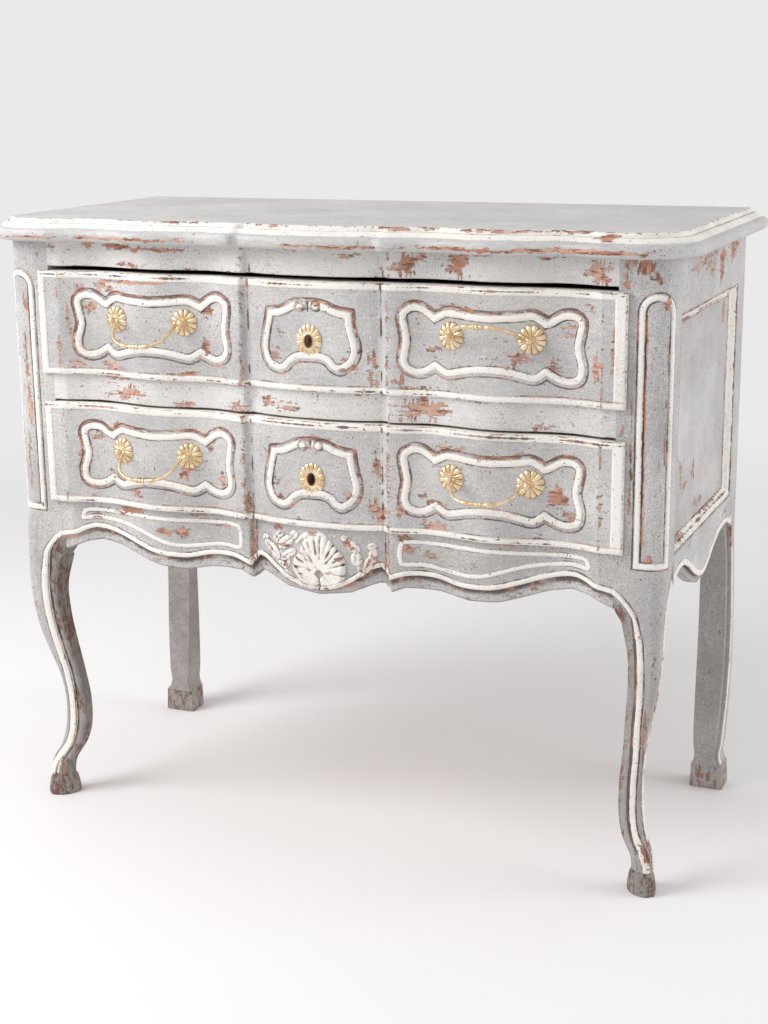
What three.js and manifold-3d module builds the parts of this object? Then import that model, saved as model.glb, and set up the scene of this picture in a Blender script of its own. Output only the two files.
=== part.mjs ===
// Painted commode chest with a serpentine front, two drawers and cabriole front legs.
// Millimetres. X runs to the right, Y to the back and Z up. The floor is Z = 0, and Y = 0 is the
// face of the drawer fronts at their two ends, until the whole chest is centred at the very end.
import * as THREE from 'three';
import { mergeVertices } from 'three/addons/utils/BufferGeometryUtils.js';
import Module from 'manifold-3d';

const wasm = await Module();
wasm.setup();

// Case
const overallHeight = 920;
const caseWidth = 1006;
const caseDepth = 457;
const postFace = 71;
const postDepth = 48;
const cornerRadius = 30;
const glueGap = 0.3;
const overrun = 40;

// Top board
const topThickness = 32;
const topOverhang = 32;
const topFrontOverhang = 35;
const topCornerRadius = 82;
const topBandInset = 27;
const topNoseHeight = 19;

// Serpentine of the front, seen from above. Shares are of half the opening's width.
const centreHalfShare = 0.227;
const ridgeShare = 0.259;
const innerHollowShare = 0.389;
const swellShare = 0.595;
const outerHollowShare = 0.829;
const creaseShare = 0.954;
const centreBow = 10;
const centreFall = 15;
const coveWidth = 6;
const ridgeForward = 2;
const innerHollowDepth = 9;
const swellForward = 3;
const outerHollowDepth = 12;
const planStep = 17;

// Drawers
const drawerFrontHeight = 152.5;
const topRailHeight = 37.4;
const dividerHeight = 45.5;
const lowerDrawerReveal = 3.4;
const upperDrawerReveal = 6.6;
const drawerProud = 8;
const lipSide = 14;
const lipBottom = 6;
const frontThickness = 30;
const drawerEndGap = 29.4;
const drawerSideHeight = 130;
const drawerSideThickness = 13;
const drawerBackThickness = 12;
const drawerBottomThickness = 8;
const drawerBottomRaise = 6;
const grooveDepth = 5;
const sideClearance = 1.5;

// Runners
const runnerThickness = 12;
const runnerWidth = 32;
const guideHeight = 33;

// Carved lower edge
const apronHeight = 99.8;
const apronRise = 53;
const apronThickness = 28;
const stripWidth = 11;
const stripSetback = 6;
const sideApronHeight = 76;
const sideApronRise = 48;

// Sides and back
const sideThickness = 20;
const sideTopRailHeight = 75.4;
const sidePanelHeight = 325;
const sidePanelSink = 11;
const sidePanelEdge = 3;
const sidePanelBevel = 12;
const rearPostWidth = 44;
const rearPostDepth = 45;
const backRailThickness = 20;
const backPanelThickness = 10;
const backTopRailHeight = 40;
const backBottomRailHeight = 45;

// Handles
const handleShare = 0.602;
const rosetteSpacing = 113;
const rosetteRise = 85.5;
const rosetteRadius = 20;
const rosetteLobes = 12;
const rosetteThickness = 2.5;
const rosetteCrown = 3.5;
const hubRadius = 5.5;
const hubReach = 13;
const rosetteSeat = 0.9;
const boreRadius = 2.2;
const shankRadius = 2.5;
const shankHoleRadius = 3;
const nutThickness = 5;
const nutRadius = 7;
const bailDrop = 48;
const bailRadius = 2.4;
const bailBeadRadius = 4;
const bailPinRadius = 1.6;
const bailInset = 8.6;
const bailEyeRadius = 2.9;
const pinClearance = 0.5;
const bailAngle = 50;
const forwardBailAngle = 66;
const raisedBailAngle = 117;

// Locks
const escutcheonWidth = 38.6;
const escutcheonHeight = 45.6;
const escutcheonThickness = 2.5;
const escutcheonPetals = 14;
const escutcheonRise = 71;
const keyholeWidth = 10;
const keyholeHeight = 17;
const keyholeStep = 2;
const lockWidth = 70;
const lockHeight = 100;
const lockThickness = 12;
const boltWidth = 22;
const boltThickness = 6;
const boltLength = 40;
const boltProud = 1.5;
const boltThrow = 12;
const boltClearance = 0.5;

// Places that follow from the sizes above
const caseHalf = caseWidth / 2;
const frameFaceY = drawerProud;
const caseBackY = frameFaceY + caseDepth;
const postBackY = frameFaceY + postDepth;
const openingHalf = caseHalf - postFace;
const frontHalf = openingHalf + lipSide;
const topUnderside = overallHeight - topThickness;
const caseTop = topUnderside - glueGap;
const topRailBottom = caseTop - topRailHeight;
const upperDrawerTop = topRailBottom - upperDrawerReveal;
const upperDrawerBottom = upperDrawerTop - drawerFrontHeight;
const dividerTop = upperDrawerBottom + lipBottom;
const dividerBottom = dividerTop - dividerHeight;
const lowerDrawerTop = dividerBottom - lowerDrawerReveal;
const lowerDrawerBottom = lowerDrawerTop - drawerFrontHeight;
const apronTop = lowerDrawerBottom + lipBottom;
const apronLow = apronTop - apronHeight;
const sidePanelTop = caseTop - sideTopRailHeight - glueGap;
const sidePanelBottom = sidePanelTop - sidePanelHeight;
const sideApronLow = sidePanelBottom - sideApronHeight;
const sideInnerX = caseHalf - sideThickness;
const sideFrontY = postBackY + glueGap;
const sideBackY = caseBackY - rearPostDepth - glueGap;
const rearPostInnerX = caseHalf - rearPostWidth;

// Colours of the finishes
const greyPaint = new THREE.MeshStandardMaterial({ color: 0xb4b4b3, roughness: 0.75, metalness: 0 });
const rawWood = new THREE.MeshStandardMaterial({ color: 0xa97b50, roughness: 0.8, metalness: 0 });
const brass = new THREE.MeshStandardMaterial({ color: 0xdfc088, roughness: 0.35, metalness: 0.9 });
const iron = new THREE.MeshStandardMaterial({ color: 0x55504b, roughness: 0.5, metalness: 0.8 });

const commode = new THREE.Group();

function place(name, geometry, material, parent = commode) {
  const mesh = new THREE.Mesh(geometry, material);
  mesh.name = name;
  parent.add(mesh);
  return mesh;
}

// A closed solid through rings of [x, y, z] points that all hold the same number of points.
function loft(rings) {
  const count = rings[0].length;
  const positions = rings.flat(2);
  const indices = [];
  for (let r = 0; r < rings.length - 1; r += 1) {
    for (let i = 0; i < count; i += 1) {
      const next = (i + 1) % count;
      const a = r * count + i;
      const b = r * count + next;
      indices.push(a, b, b + count, a, b + count, a + count);
    }
  }
  const last = (rings.length - 1) * count;
  for (const [a, b, c] of capOf(rings[0])) indices.push(a, c, b);
  for (const [a, b, c] of capOf(rings[rings.length - 1])) indices.push(last + a, last + b, last + c);
  const geometry = new THREE.BufferGeometry();
  geometry.setAttribute('position', new THREE.Float32BufferAttribute(positions, 3));
  geometry.setIndex(indices);
  return faceOutwards(geometry);
}

// Triangles over one ring, found in the plane that the ring lies flattest in, wound as it is.
function capOf(ring) {
  const normal = new THREE.Vector3();
  ring.forEach((p, i) => {
    const q = ring[(i + 1) % ring.length];
    normal.add(new THREE.Vector3(...p).cross(new THREE.Vector3(...q)));
  });
  const size = normal.toArray().map(Math.abs);
  const drop = size.indexOf(Math.max(...size));
  const flat = ring.map((p) => new THREE.Vector2(p[(drop + 1) % 3], p[(drop + 2) % 3]));
  const triangles = THREE.ShapeUtils.triangulateShape(flat, []);
  const covered = triangles.reduce((sum, t) => sum + THREE.ShapeUtils.area(t.map((i) => flat[i])), 0);
  const same = covered * THREE.ShapeUtils.area(flat) > 0;
  return same ? triangles : triangles.map(([a, b, c]) => [a, c, b]);
}

function signedVolume(geometry) {
  const p = geometry.attributes.position;
  const corners = [new THREE.Vector3(), new THREE.Vector3(), new THREE.Vector3()];
  let volume = 0;
  for (let i = 0; i < geometry.index.count; i += 3) {
    corners.forEach((corner, k) => corner.fromBufferAttribute(p, geometry.index.getX(i + k)));
    volume += corners[0].dot(corners[1].clone().cross(corners[2])) / 6;
  }
  return volume;
}

function faceOutwards(geometry) {
  if (signedVolume(geometry) < 0) {
    const index = geometry.index.array;
    for (let i = 0; i < index.length; i += 3) {
      [index[i + 1], index[i + 2]] = [index[i + 2], index[i + 1]];
    }
  }
  return geometry;
}

// Solids for joining and cutting
function solid(geometry) {
  const bare = geometry.clone();
  bare.deleteAttribute('normal');
  bare.deleteAttribute('uv');
  const merged = mergeVertices(bare);
  return new wasm.Manifold(new wasm.Mesh({
    numProp: 3,
    vertProperties: Float32Array.from(merged.attributes.position.array),
    triVerts: Uint32Array.from(merged.index.array),
  }));
}

function geometryOf(manifold) {
  const mesh = manifold.getMesh();
  const geometry = new THREE.BufferGeometry();
  geometry.setAttribute('position', new THREE.Float32BufferAttribute(mesh.vertProperties, 3));
  geometry.setIndex(Array.from(mesh.triVerts));
  return geometry;
}

// Prisms over an outline: upwards over [x, y], backwards over [x, z], sideways over [y, z]
const prismUp = (outline, z0, z1) => loft([z0, z1].map((z) => outline.map(([x, y]) => [x, y, z])));
const prismBack = (outline, y0, y1) => loft([y0, y1].map((y) => outline.map(([x, z]) => [x, y, z])));
const prismSide = (outline, x0, x1) => loft([x0, x1].map((x) => outline.map(([y, z]) => [x, y, z])));

function block(x0, x1, y0, y1, z0, z1) {
  return prismUp([[x0, y0], [x1, y0], [x1, y1], [x0, y1]], z0, z1);
}

// Eases from one value to another as share goes from 0 to 1, level at both ends.
const ease = (from, to, share) => from + (to - from) * (1 - Math.cos(Math.PI * share)) / 2;

// Looks up a value along stations of [place, value], easing from each station to the next.
function alongStations(stations, at) {
  const end = stations.findIndex(([place]) => place >= at);
  if (end === 0) return stations[0][1];
  if (end < 0) return stations[stations.length - 1][1];
  const [x0, v0] = stations[end - 1];
  const [x1, v1] = stations[end];
  return ease(v0, v1, (at - x0) / (x1 - x0));
}

// How far back the face of a drawer front lies at a place across the chest
const centreHalf = openingHalf * centreHalfShare;
const ridgeX = openingHalf * ridgeShare;
const innerHollowX = openingHalf * innerHollowShare;
const swellX = openingHalf * swellShare;
const outerHollowX = openingHalf * outerHollowShare;
const creaseX = openingHalf * creaseShare;
const bowPower = 2.5;
const coveStations = [
  [centreHalf, centreFall - centreBow],
  [centreHalf + coveWidth, centreFall - centreBow],
  [ridgeX, -ridgeForward],
  [innerHollowX, innerHollowDepth],
  [swellX, -swellForward],
  [outerHollowX, outerHollowDepth],
];
function faceY(x) {
  const across = Math.abs(x);
  if (across <= centreHalf) return centreFall * (across / centreHalf) ** bowPower - centreBow;
  if (across <= outerHollowX) return alongStations(coveStations, across);
  if (across >= creaseX) return 0;
  const share = (across - outerHollowX) / (creaseX - outerHollowX);
  return outerHollowDepth * Math.cos(Math.PI / 2 * share);
}

// Places across the chest where the front's curve is drawn, out to a half width
function planPlaces(half) {
  const coveX = centreHalf + coveWidth;
  const marks = [0, centreHalf, coveX, ridgeX, innerHollowX, swellX, outerHollowX, creaseX];
  const inside = marks.filter((mark) => mark < half).concat(half);
  const right = [0];
  for (let i = 1; i < inside.length; i += 1) {
    const steps = Math.max(1, Math.round((inside[i] - inside[i - 1]) / planStep));
    for (let k = 1; k <= steps; k += 1) right.push(inside[i - 1] + (inside[i] - inside[i - 1]) * k / steps);
  }
  return right.slice(1).reverse().map((x) => -x).concat(right);
}

// Outline, seen from above, between the front's curve moved back by setback and a straight back
function frontPlan(half, setback, backY) {
  const front = planPlaces(half).map((x) => [x, faceY(x) + setback]);
  return [...front, [half, backY], [-half, backY]];
}

// Outline, seen from above, between the front's curve at two setbacks
function frontShell(half, nearSetback, farSetback) {
  const places = planPlaces(half);
  const near = places.map((x) => [x, faceY(x) + nearSetback]);
  const far = places.map((x) => [x, faceY(x) + farSetback]).reverse();
  return [...near, ...far];
}

// Top board: the outline seen from above, drawn in by inset, through the edge moulding
const topCornerSteps = 9;
const topBackY = caseBackY + glueGap;
function topOutline(inset) {
  const half = caseHalf + topOverhang - inset;
  const radius = topCornerRadius - inset;
  const frontEdge = (x) => faceY(x) + frameFaceY - topFrontOverhang + inset;
  const straight = half - radius;
  const front = planPlaces(straight).map((x) => [x, frontEdge(x)]);
  const corner = [];
  for (let i = 1; i <= topCornerSteps; i += 1) {
    const angle = Math.PI / 2 * i / topCornerSteps;
    corner.push([straight + radius * Math.sin(angle), frontEdge(half) + radius * (1 - Math.cos(angle))]);
  }
  const left = corner.map(([x, y]) => [-x, y]).reverse();
  return [...left, ...front, ...corner, [half, topBackY], [-half, topBackY]];
}
const noseShares = [[0, 0.36], [0.12, 0.12], [0.38, 0], [0.7, 0], [0.92, 0.12], [1, 0.3]];
const bandShares = [[0.12, 0.3], [0.45, 0.42], [0.8, 0.72], [1, 1]];
const topRings = noseShares.map(([rise, inset]) => [
  topUnderside + topNoseHeight * rise,
  topBandInset * inset,
]).concat(bandShares.map(([rise, inset]) => [
  topUnderside + topNoseHeight + (topThickness - topNoseHeight) * rise,
  topBandInset * inset,
]));
const topBoard = loft(topRings.map(([z, inset]) => topOutline(inset).map(([x, y]) => [x, y, z])));
place('top_board', topBoard, greyPaint);

// Front corner posts. Each is one stick with its cabriole leg: a rounded outer corner, a sharp
// moulded arris along each inner edge with a stepped strip behind it, and a hoof foot.
// Rows from the ankle up to the knee: height as a share of the knee's, how far the corner draws in,
// how far the knee comes forward, the width of each face, how far each face leans back to its
// arris, the rounding of the corner, the flat on the inner corner, and the width of the strip.
const postInnerX = openingHalf;
const kneeDrop = 2;
const kneeZ = apronLow - kneeDrop;
const kneeForward = 8;
const ankleDrawIn = 34;
const innerFlat = 12;
const hoofHeight = kneeZ * 0.0725;
const hoofLength = 26;
const hoofWidth = 18.5;
const hoofInsetX = 27;
const hoofInsetY = 30;
const stripLean = 1;
const legShares = [
  [0.14, 0.5, 0, 0.28, 0, 0.17, 0.6, 1.2],
  [0.25, 0.89, 0, 0.28, 0, 0.17, 0.5, 1.2],
  [0.375, 1, 0, 0.26, 0, 0.17, 0.5, 1.2],
  [0.5, 0.85, 0, 0.28, 0.25, 0.17, 0.5, 1.1],
  [0.625, 0.52, 0.5, 0.375, 0.5, 0.27, 0.3, 1],
  [0.75, 0.2, 0.7, 0.455, 0.7, 0.45, 0.25, 1],
  [0.875, 0.04, 0.9, 0.52, 0.7, 0.67, 0.25, 1],
  [1, 0, 1, 0.6, 0.8, 0.83, 0.25, 1.45],
];
const hoofShares = [[0, 1], [0.25, 1], [1, 0.86], [1.2, 0.74]];
const hoofTurn = 45;
const hoofAngles = [-120, -75, -60, -45, -30, -15, 30, 50, 75, 120, 150, 195, 220];

// Above the knee the arris turns inwards to the opening, and the side arris to the side panel.
// Rows: height between the knee and the top of the turn, how far out the front arris is, how far
// the corner comes forward, and the width of the strip, which runs on from the apron's.
const apronEndShare = 0.71;
const sideApronFrontShare = 0.75;
const kneeTopZ = apronLow + apronRise * apronEndShare;
const sideKneeTopZ = sideApronLow + sideApronRise * sideApronFrontShare;
const kneeTopForward = 0.3;
const legTopRise = 76;
const legTopZ = apronLow + legTopRise;
const turnShares = [[0.35, 0.89, 0.9, 2], [0.68, 0.52, 0.82, 1.4], [0.9, 0.2, 0.72, 1], [1, 0, 0.65, 1]];
const cornerTurns = 4;

function cornerPoints(arris, corner, sideArris, radius) {
  const towards = (from, to) => {
    const length = Math.hypot(to[0] - from[0], to[1] - from[1]);
    return [from[0] + (to[0] - from[0]) * radius / length, from[1] + (to[1] - from[1]) * radius / length];
  };
  const start = towards(corner, arris);
  const end = towards(corner, sideArris);
  const points = [];
  for (let i = 0; i <= cornerTurns; i += 1) {
    const t = i / cornerTurns;
    points.push([0, 1].map((k) => start[k] * (1 - t) ** 2 + corner[k] * 2 * t * (1 - t) + end[k] * t ** 2));
  }
  return points;
}

function postRing(z, arris, corner, sideArris, radius, flat, innerX, innerY) {
  return [
    arris,
    ...cornerPoints(arris, corner, sideArris, radius),
    sideArris,
    [sideArris[0] - stripSetback, sideArris[1]],
    [sideArris[0] - stripSetback - stripLean, innerY],
    [innerX + flat, innerY],
    [innerX, innerY - flat],
    [innerX, arris[1] + stripSetback + stripLean],
    [arris[0], arris[1] + stripSetback],
  ].map(([x, y]) => [x, y, z]);
}

function legRing([height, drawIn, forward, width, lean, radius, flat, strip]) {
  const corner = [
    caseHalf - ankleDrawIn * drawIn,
    frameFaceY + ankleDrawIn * drawIn - kneeForward * forward,
  ];
  const arris = [corner[0] - postFace * width, corner[1] + kneeForward * lean];
  const sideArris = [corner[0] - kneeForward * lean, corner[1] + postFace * width];
  const innerX = Math.max(postInnerX, arris[0] - stripWidth * strip);
  const innerY = Math.min(postBackY, sideArris[1] + stripWidth * strip);
  const rounding = cornerRadius * radius;
  return postRing(kneeZ * height, arris, corner, sideArris, rounding, innerFlat * flat, innerX, innerY);
}

function hoofRing([height, size]) {
  const centre = [caseHalf - hoofInsetX, frameFaceY + hoofInsetY];
  return hoofAngles.map((degrees) => {
    const angle = THREE.MathUtils.degToRad(degrees + hoofTurn);
    const along = hoofLength * size * Math.cos(angle);
    const across = hoofWidth * size * Math.sin(angle);
    const x = centre[0] + (along + across) * Math.SQRT1_2;
    const y = centre[1] + (across - along) * Math.SQRT1_2;
    return [x, y, hoofHeight * height];
  });
}

function frontPostRings() {
  const knee = legShares.at(-1);
  const kneeWidth = postFace * knee[3];
  const kneeRounding = cornerRadius * knee[5];
  const kneeFlat = innerFlat * knee[6];
  const turn = turnShares.map(([rise, arrisShare, forward, strip]) => {
    const z = kneeZ + (kneeTopZ - kneeZ) * rise;
    const corner = [caseHalf, frameFaceY - kneeForward * forward];
    const lean = kneeForward * knee[4] * forward;
    const arrisX = caseHalf - kneeWidth;
    const arris = [postInnerX + (arrisX - postInnerX) * arrisShare, corner[1] + lean];
    const kneeSideY = frameFaceY - kneeForward + kneeWidth;
    const sideY = ease(kneeSideY, postBackY, (z - kneeZ) / (sideKneeTopZ - kneeZ));
    const innerX = Math.max(postInnerX, arris[0] - stripWidth * strip);
    const innerY = Math.min(postBackY, sideY + stripWidth);
    return postRing(z, arris, corner, [caseHalf - lean, sideY], kneeRounding, kneeFlat, innerX, innerY);
  });
  const block = (z, forward) => postRing(
    z,
    [postInnerX, frameFaceY],
    [caseHalf, frameFaceY - kneeForward * forward],
    [caseHalf - kneeForward * forward, postBackY],
    cornerRadius,
    kneeFlat,
    postInnerX,
    postBackY,
  );
  return [
    ...hoofShares.map(hoofRing),
    ...legShares.map(legRing),
    ...turn,
    block(sideKneeTopZ, kneeTopForward),
    block(legTopZ, 0),
    block(caseTop, 0),
  ];
}

// Rear corner posts: a flat stick with a straight leg, narrowed at the ankle above a square foot.
// Rows: height as a share of the knee's, how far the front arris lies in front of the back face as
// a share of the post's depth, and how far the outer and the inner face flare out.
const rearFlare = 6;
const rearFootTop = 0.095;
const rearLegShares = [
  [0, 0.93, 0.85, 0.5],
  [rearFootTop, 0.93, 0.5, 0.3],
  [0.12, 0.84, -0.3, -0.4],
  [0.2, 0.78, 0, -0.2],
  [0.375, 0.62, 0.6, 0],
  [0.625, 0.46, 0.8, 0],
  [0.85, 0.45, 0.5, 0],
  [0.98, 0.48, 0.2, 0],
  [1.04, 0.56, 0, 0],
  [1.09, 0.74, 0, 0],
  [1.13, 1, 0, 0],
  [1.2, 1, 0, 0],
];
function rearRing([height, depth, outward, inward], z = kneeZ * height) {
  const outerX = caseHalf + rearFlare * outward;
  const innerX = rearPostInnerX - rearFlare * inward;
  const arrisY = caseBackY - rearPostDepth * depth;
  const strip = height > rearFootTop ? stripWidth : 0;
  const frontY = Math.max(caseBackY - rearPostDepth, arrisY - strip);
  return [
    [innerX, caseBackY, z],
    [outerX, caseBackY, z],
    [outerX, arrisY, z],
    [outerX - stripSetback, arrisY, z],
    [outerX - stripSetback - stripLean, frontY, z],
    [innerX, frontY, z],
  ];
}

const mirrored = (rings) => rings.map((ring) => ring.map(([x, y, z]) => [-x, y, z]));
const rearPostRings = rearLegShares.map((row) => rearRing(row));
rearPostRings.push(rearRing(rearLegShares.at(-1), caseTop));
place('front_post_right', loft(frontPostRings()), greyPaint);
place('front_post_left', loft(mirrored(frontPostRings())), greyPaint);
place('rear_post_right', loft(rearPostRings), greyPaint);
place('rear_post_left', loft(mirrored(rearPostRings)), greyPaint);

// Front rails between the posts. The upper two are mortised for the lock bolts.
const railHalf = postInnerX - glueGap;
const lockBackY = frontThickness + glueGap;
const boltFrontY = lockBackY + (lockThickness - boltThickness) / 2;
function boltSpace(z0, z1) {
  const half = boltWidth / 2 + boltClearance;
  const y1 = boltFrontY + boltThickness + boltClearance;
  return solid(block(-half, half, boltFrontY - boltClearance, y1, z0, z1));
}
function mortisedRail(z0, z1) {
  const rail = solid(prismUp(frontPlan(railHalf, drawerProud, postBackY), z0, z1));
  return geometryOf(rail.subtract(boltSpace(z0 - overrun, z0 + boltThrow)));
}
place('top_front_rail', mortisedRail(topRailBottom, caseTop), greyPaint);
place('drawer_divider_rail', mortisedRail(dividerBottom, dividerTop), greyPaint);

// Carved lower edges. A sharp arris runs along the front of each board, and a strip shows behind
// and below it, set back from the face. Rows: place along the edge, and height.
const apronArrisShares = [
  [0, 0], [0.03, 0.01], [0.07, 0.09], [0.116, 0.25], [0.162, 0.49], [0.195, 0.68], [0.225, 0.72],
  [0.252, 0.43], [0.3, 0.57], [0.347, 0.6], [0.417, 0.57], [0.486, 0.45], [0.556, 0.44],
  [0.625, 0.5], [0.694, 0.66], [0.787, 0.89], [0.861, 1], [0.907, 0.93], [0.938, 0.81], [0.972, 0.755],
  [1, apronEndShare],
];
const apronStripShares = [
  [0, 0], [0.116, 0.13], [0.18, 0.36], [0.21, 0.44], [0.252, 0.22], [0.3, 0.38], [0.417, 0.35],
  [0.521, 0.22], [0.625, 0.28], [0.694, 0.44], [0.787, 0.68], [0.861, 0.79], [0.92, 0.7], [1, 0.44],
];
const sideArrisShares = [
  [0, sideApronFrontShare], [0.03, 0.88], [0.07, 0.96], [0.126, 1], [0.195, 0.92], [0.277, 0.65],
  [0.36, 0.33], [0.442, 0.08], [0.511, 0], [0.58, 0.125], [0.662, 0.4], [0.745, 0.65], [0.814, 0.79],
  [0.883, 0.83], [0.951, 0.79], [1, 0.66],
];

// The front apron, in two layers from front to back
const stripDropShare = 0.82;
const apronBackY = frameFaceY + apronThickness;
function apronLayer(plan, low, edgeShares) {
  const right = edgeShares.map(([place, rise]) => [railHalf * place, low + apronRise * rise]);
  const left = right.slice(1).reverse().map(([x, z]) => [-x, z]);
  const outline = [...left, ...right, [railHalf, apronTop], [-railHalf, apronTop]];
  const edge = solid(prismBack(outline, -overrun, postBackY));
  return solid(prismUp(plan, low - overrun, apronTop + overrun)).intersect(edge);
}
const apronFrontLayer = apronLayer(
  frontShell(railHalf, drawerProud, drawerProud + stripSetback + stripLean),
  apronLow,
  apronArrisShares,
);
const apronBackLayer = apronLayer(
  frontPlan(railHalf, drawerProud + stripSetback, apronBackY),
  apronLow - stripWidth * stripDropShare,
  apronStripShares,
);

// The carved shell in the middle of the apron: a scalloped fan that rises to its hinge
const shellWidth = 82;
const shellHingeRise = 28;
const shellHinge = apronLow + shellHingeRise;
const shellHeight = 56;
const shellRelief = 8;
const shellFlutes = 11;
const shellSpread = 250;
const scallopShare = 0.08;
function shellRing(size, forward) {
  const points = [];
  const steps = shellFlutes * 2;
  for (let i = 0; i <= steps; i += 1) {
    const angle = THREE.MathUtils.degToRad(90 + shellSpread * (i / steps - 0.5));
    const scallop = i % 2 ? 1 : 1 - scallopShare;
    const up = Math.sin(angle) > 0 ? shellHeight : shellWidth / 2;
    points.push([
      shellWidth / 2 * size * scallop * Math.cos(angle),
      faceY(0) + drawerProud - forward,
      shellHinge + up * size * scallop * Math.sin(angle),
    ]);
  }
  return points;
}
const shellRings = [[1, -2], [1, 0.3], [0.93, 0.6], [0.25, 1]];
const shellSolid = solid(loft(shellRings.map(([size, forward]) => (
  shellRing(size, forward > 0 ? shellRelief * forward : stripLean * forward)
))));

// A spray of leaves on each side of the shell
const leafShares = [
  [0, 0], [0.2, 0.35], [0.45, 0.8], [0.75, 1], [1, 0.85], [0.8, 0.55], [0.55, 0.3], [0.3, -0.05],
];
const leafLength = 46;
const leafRise = 50;
const leafStart = 44;
const leafFootRise = 22;
const leafFoot = apronLow + leafFootRise;
const leafRelief = 4;
function leafSolid(side) {
  const outline = leafShares.map(([across, rise]) => [
    side * (leafStart + leafLength * across),
    leafFoot + leafRise * rise,
  ]);
  const near = drawerProud - leafRelief;
  const layer = solid(prismUp(frontShell(centreHalf, near, drawerProud + stripLean), apronLow, apronTop));
  return layer.intersect(solid(prismBack(outline, -overrun, postBackY)));
}
const apron = [apronBackLayer, shellSolid, leafSolid(1), leafSolid(-1)].reduce(
  (whole, piece) => whole.add(piece),
  apronFrontLayer,
);
place('front_apron', geometryOf(apron), greyPaint);

// Sides: a top rail, a sunk panel with a bevelled edge, and a scalloped lower rail
const sideLength = sideBackY - sideFrontY;
function sidePieces(side, hand) {
  const wall = (z0, z1) => block(side * sideInnerX, side * caseHalf, sideFrontY, sideBackY, z0, z1);
  place(`side_top_rail_${hand}`, wall(sidePanelTop + glueGap, caseTop), greyPaint);

  const rectangle = (x, inset) => [
    [side * x, sideFrontY + inset, sidePanelBottom + inset],
    [side * x, sideBackY - inset, sidePanelBottom + inset],
    [side * x, sideBackY - inset, sidePanelTop - inset],
    [side * x, sideFrontY + inset, sidePanelTop - inset],
  ];
  const field = loft([
    rectangle(caseHalf - sidePanelSink, sidePanelEdge + sidePanelBevel),
    rectangle(caseHalf, sidePanelEdge),
    rectangle(caseHalf + overrun, sidePanelEdge),
  ]);
  const panel = solid(wall(sidePanelBottom, sidePanelTop)).subtract(solid(field));
  place(`side_panel_${hand}`, geometryOf(panel), greyPaint);

  const layer = (shares, drop, x0, x1) => {
    const edge = shares.map(([place, rise]) => [
      sideFrontY + sideLength * place,
      sideApronLow - drop + sideApronRise * rise,
    ]);
    const top = sidePanelBottom - glueGap;
    return solid(prismSide([...edge, [sideBackY, top], [sideFrontY, top]], side * x0, side * x1));
  };
  const stepX = caseHalf - stripSetback;
  const rail = layer(sideArrisShares, 0, stepX - stripLean, caseHalf)
    .add(layer(sideArrisShares, stripWidth, sideInnerX, stepX));
  place(`side_apron_${hand}`, geometryOf(rail), greyPaint);
}
sidePieces(1, 'right');
sidePieces(-1, 'left');

// Back, between the rear posts
const backHalf = rearPostInnerX - glueGap;
const backY = caseBackY - glueGap;
const backBoard = (thickness, z0, z1) => block(-backHalf, backHalf, backY - thickness, backY, z0, z1);
const backPanelTop = caseTop - backTopRailHeight - glueGap;
place('back_top_rail', backBoard(backRailThickness, caseTop - backTopRailHeight, caseTop), rawWood);
place('back_panel', backBoard(backPanelThickness, sidePanelBottom + glueGap, backPanelTop), rawWood);
const backRailLow = sidePanelBottom - backBottomRailHeight;
place('back_bottom_rail', backBoard(backRailThickness, backRailLow, sidePanelBottom), rawWood);

// Drawer runners: a shelf under each drawer side with a guide beside it
const drawerHalf = openingHalf - sideClearance;
const runnerInnerX = openingHalf - runnerWidth;
function runner(side, shelfZ) {
  const section = [
    [runnerInnerX, shelfZ - runnerThickness],
    [sideInnerX - glueGap, shelfZ - runnerThickness],
    [sideInnerX - glueGap, shelfZ + guideHeight],
    [openingHalf, shelfZ + guideHeight],
    [openingHalf, shelfZ],
    [runnerInnerX, shelfZ],
  ];
  return prismBack(section.map(([x, z]) => [side * x, z]), sideFrontY, sideBackY);
}
place('lower_runner_right', runner(1, apronTop), rawWood);
place('lower_runner_left', runner(-1, apronTop), rawWood);
place('upper_runner_right', runner(1, dividerTop), rawWood);
place('upper_runner_left', runner(-1, dividerTop), rawWood);

// Handle posts: a lobed rosette that lies on the curved face, a hub that holds the bail, and a
// straight shank that goes through the drawer front to a nut
const rosetteSegments = rosetteLobes * 3;
const lobeShare = 0.12;
const lobePower = 3;
const roundSegments = 8;
function rosetteRing([size, forward]) {
  const points = [];
  for (let i = 0; i < rosetteSegments; i += 1) {
    const angle = 2 * Math.PI * i / rosetteSegments;
    const notch = lobeShare * Math.abs(Math.cos(rosetteLobes * angle / 2)) ** lobePower;
    const radius = rosetteRadius * size * (1 - notch);
    points.push([radius * Math.cos(angle), -forward, radius * Math.sin(angle)]);
  }
  return points;
}

// A round bar along Y from one place to another, with a radius at each
function barBack(radius, y0, y1, x, z) {
  const rings = [y0, y1].map((y) => Array.from({ length: roundSegments }, (unused, i) => {
    const angle = 2 * Math.PI * i / roundSegments;
    return [x + radius * Math.cos(angle), y, z + radius * Math.sin(angle)];
  }));
  return loft(rings);
}

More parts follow.
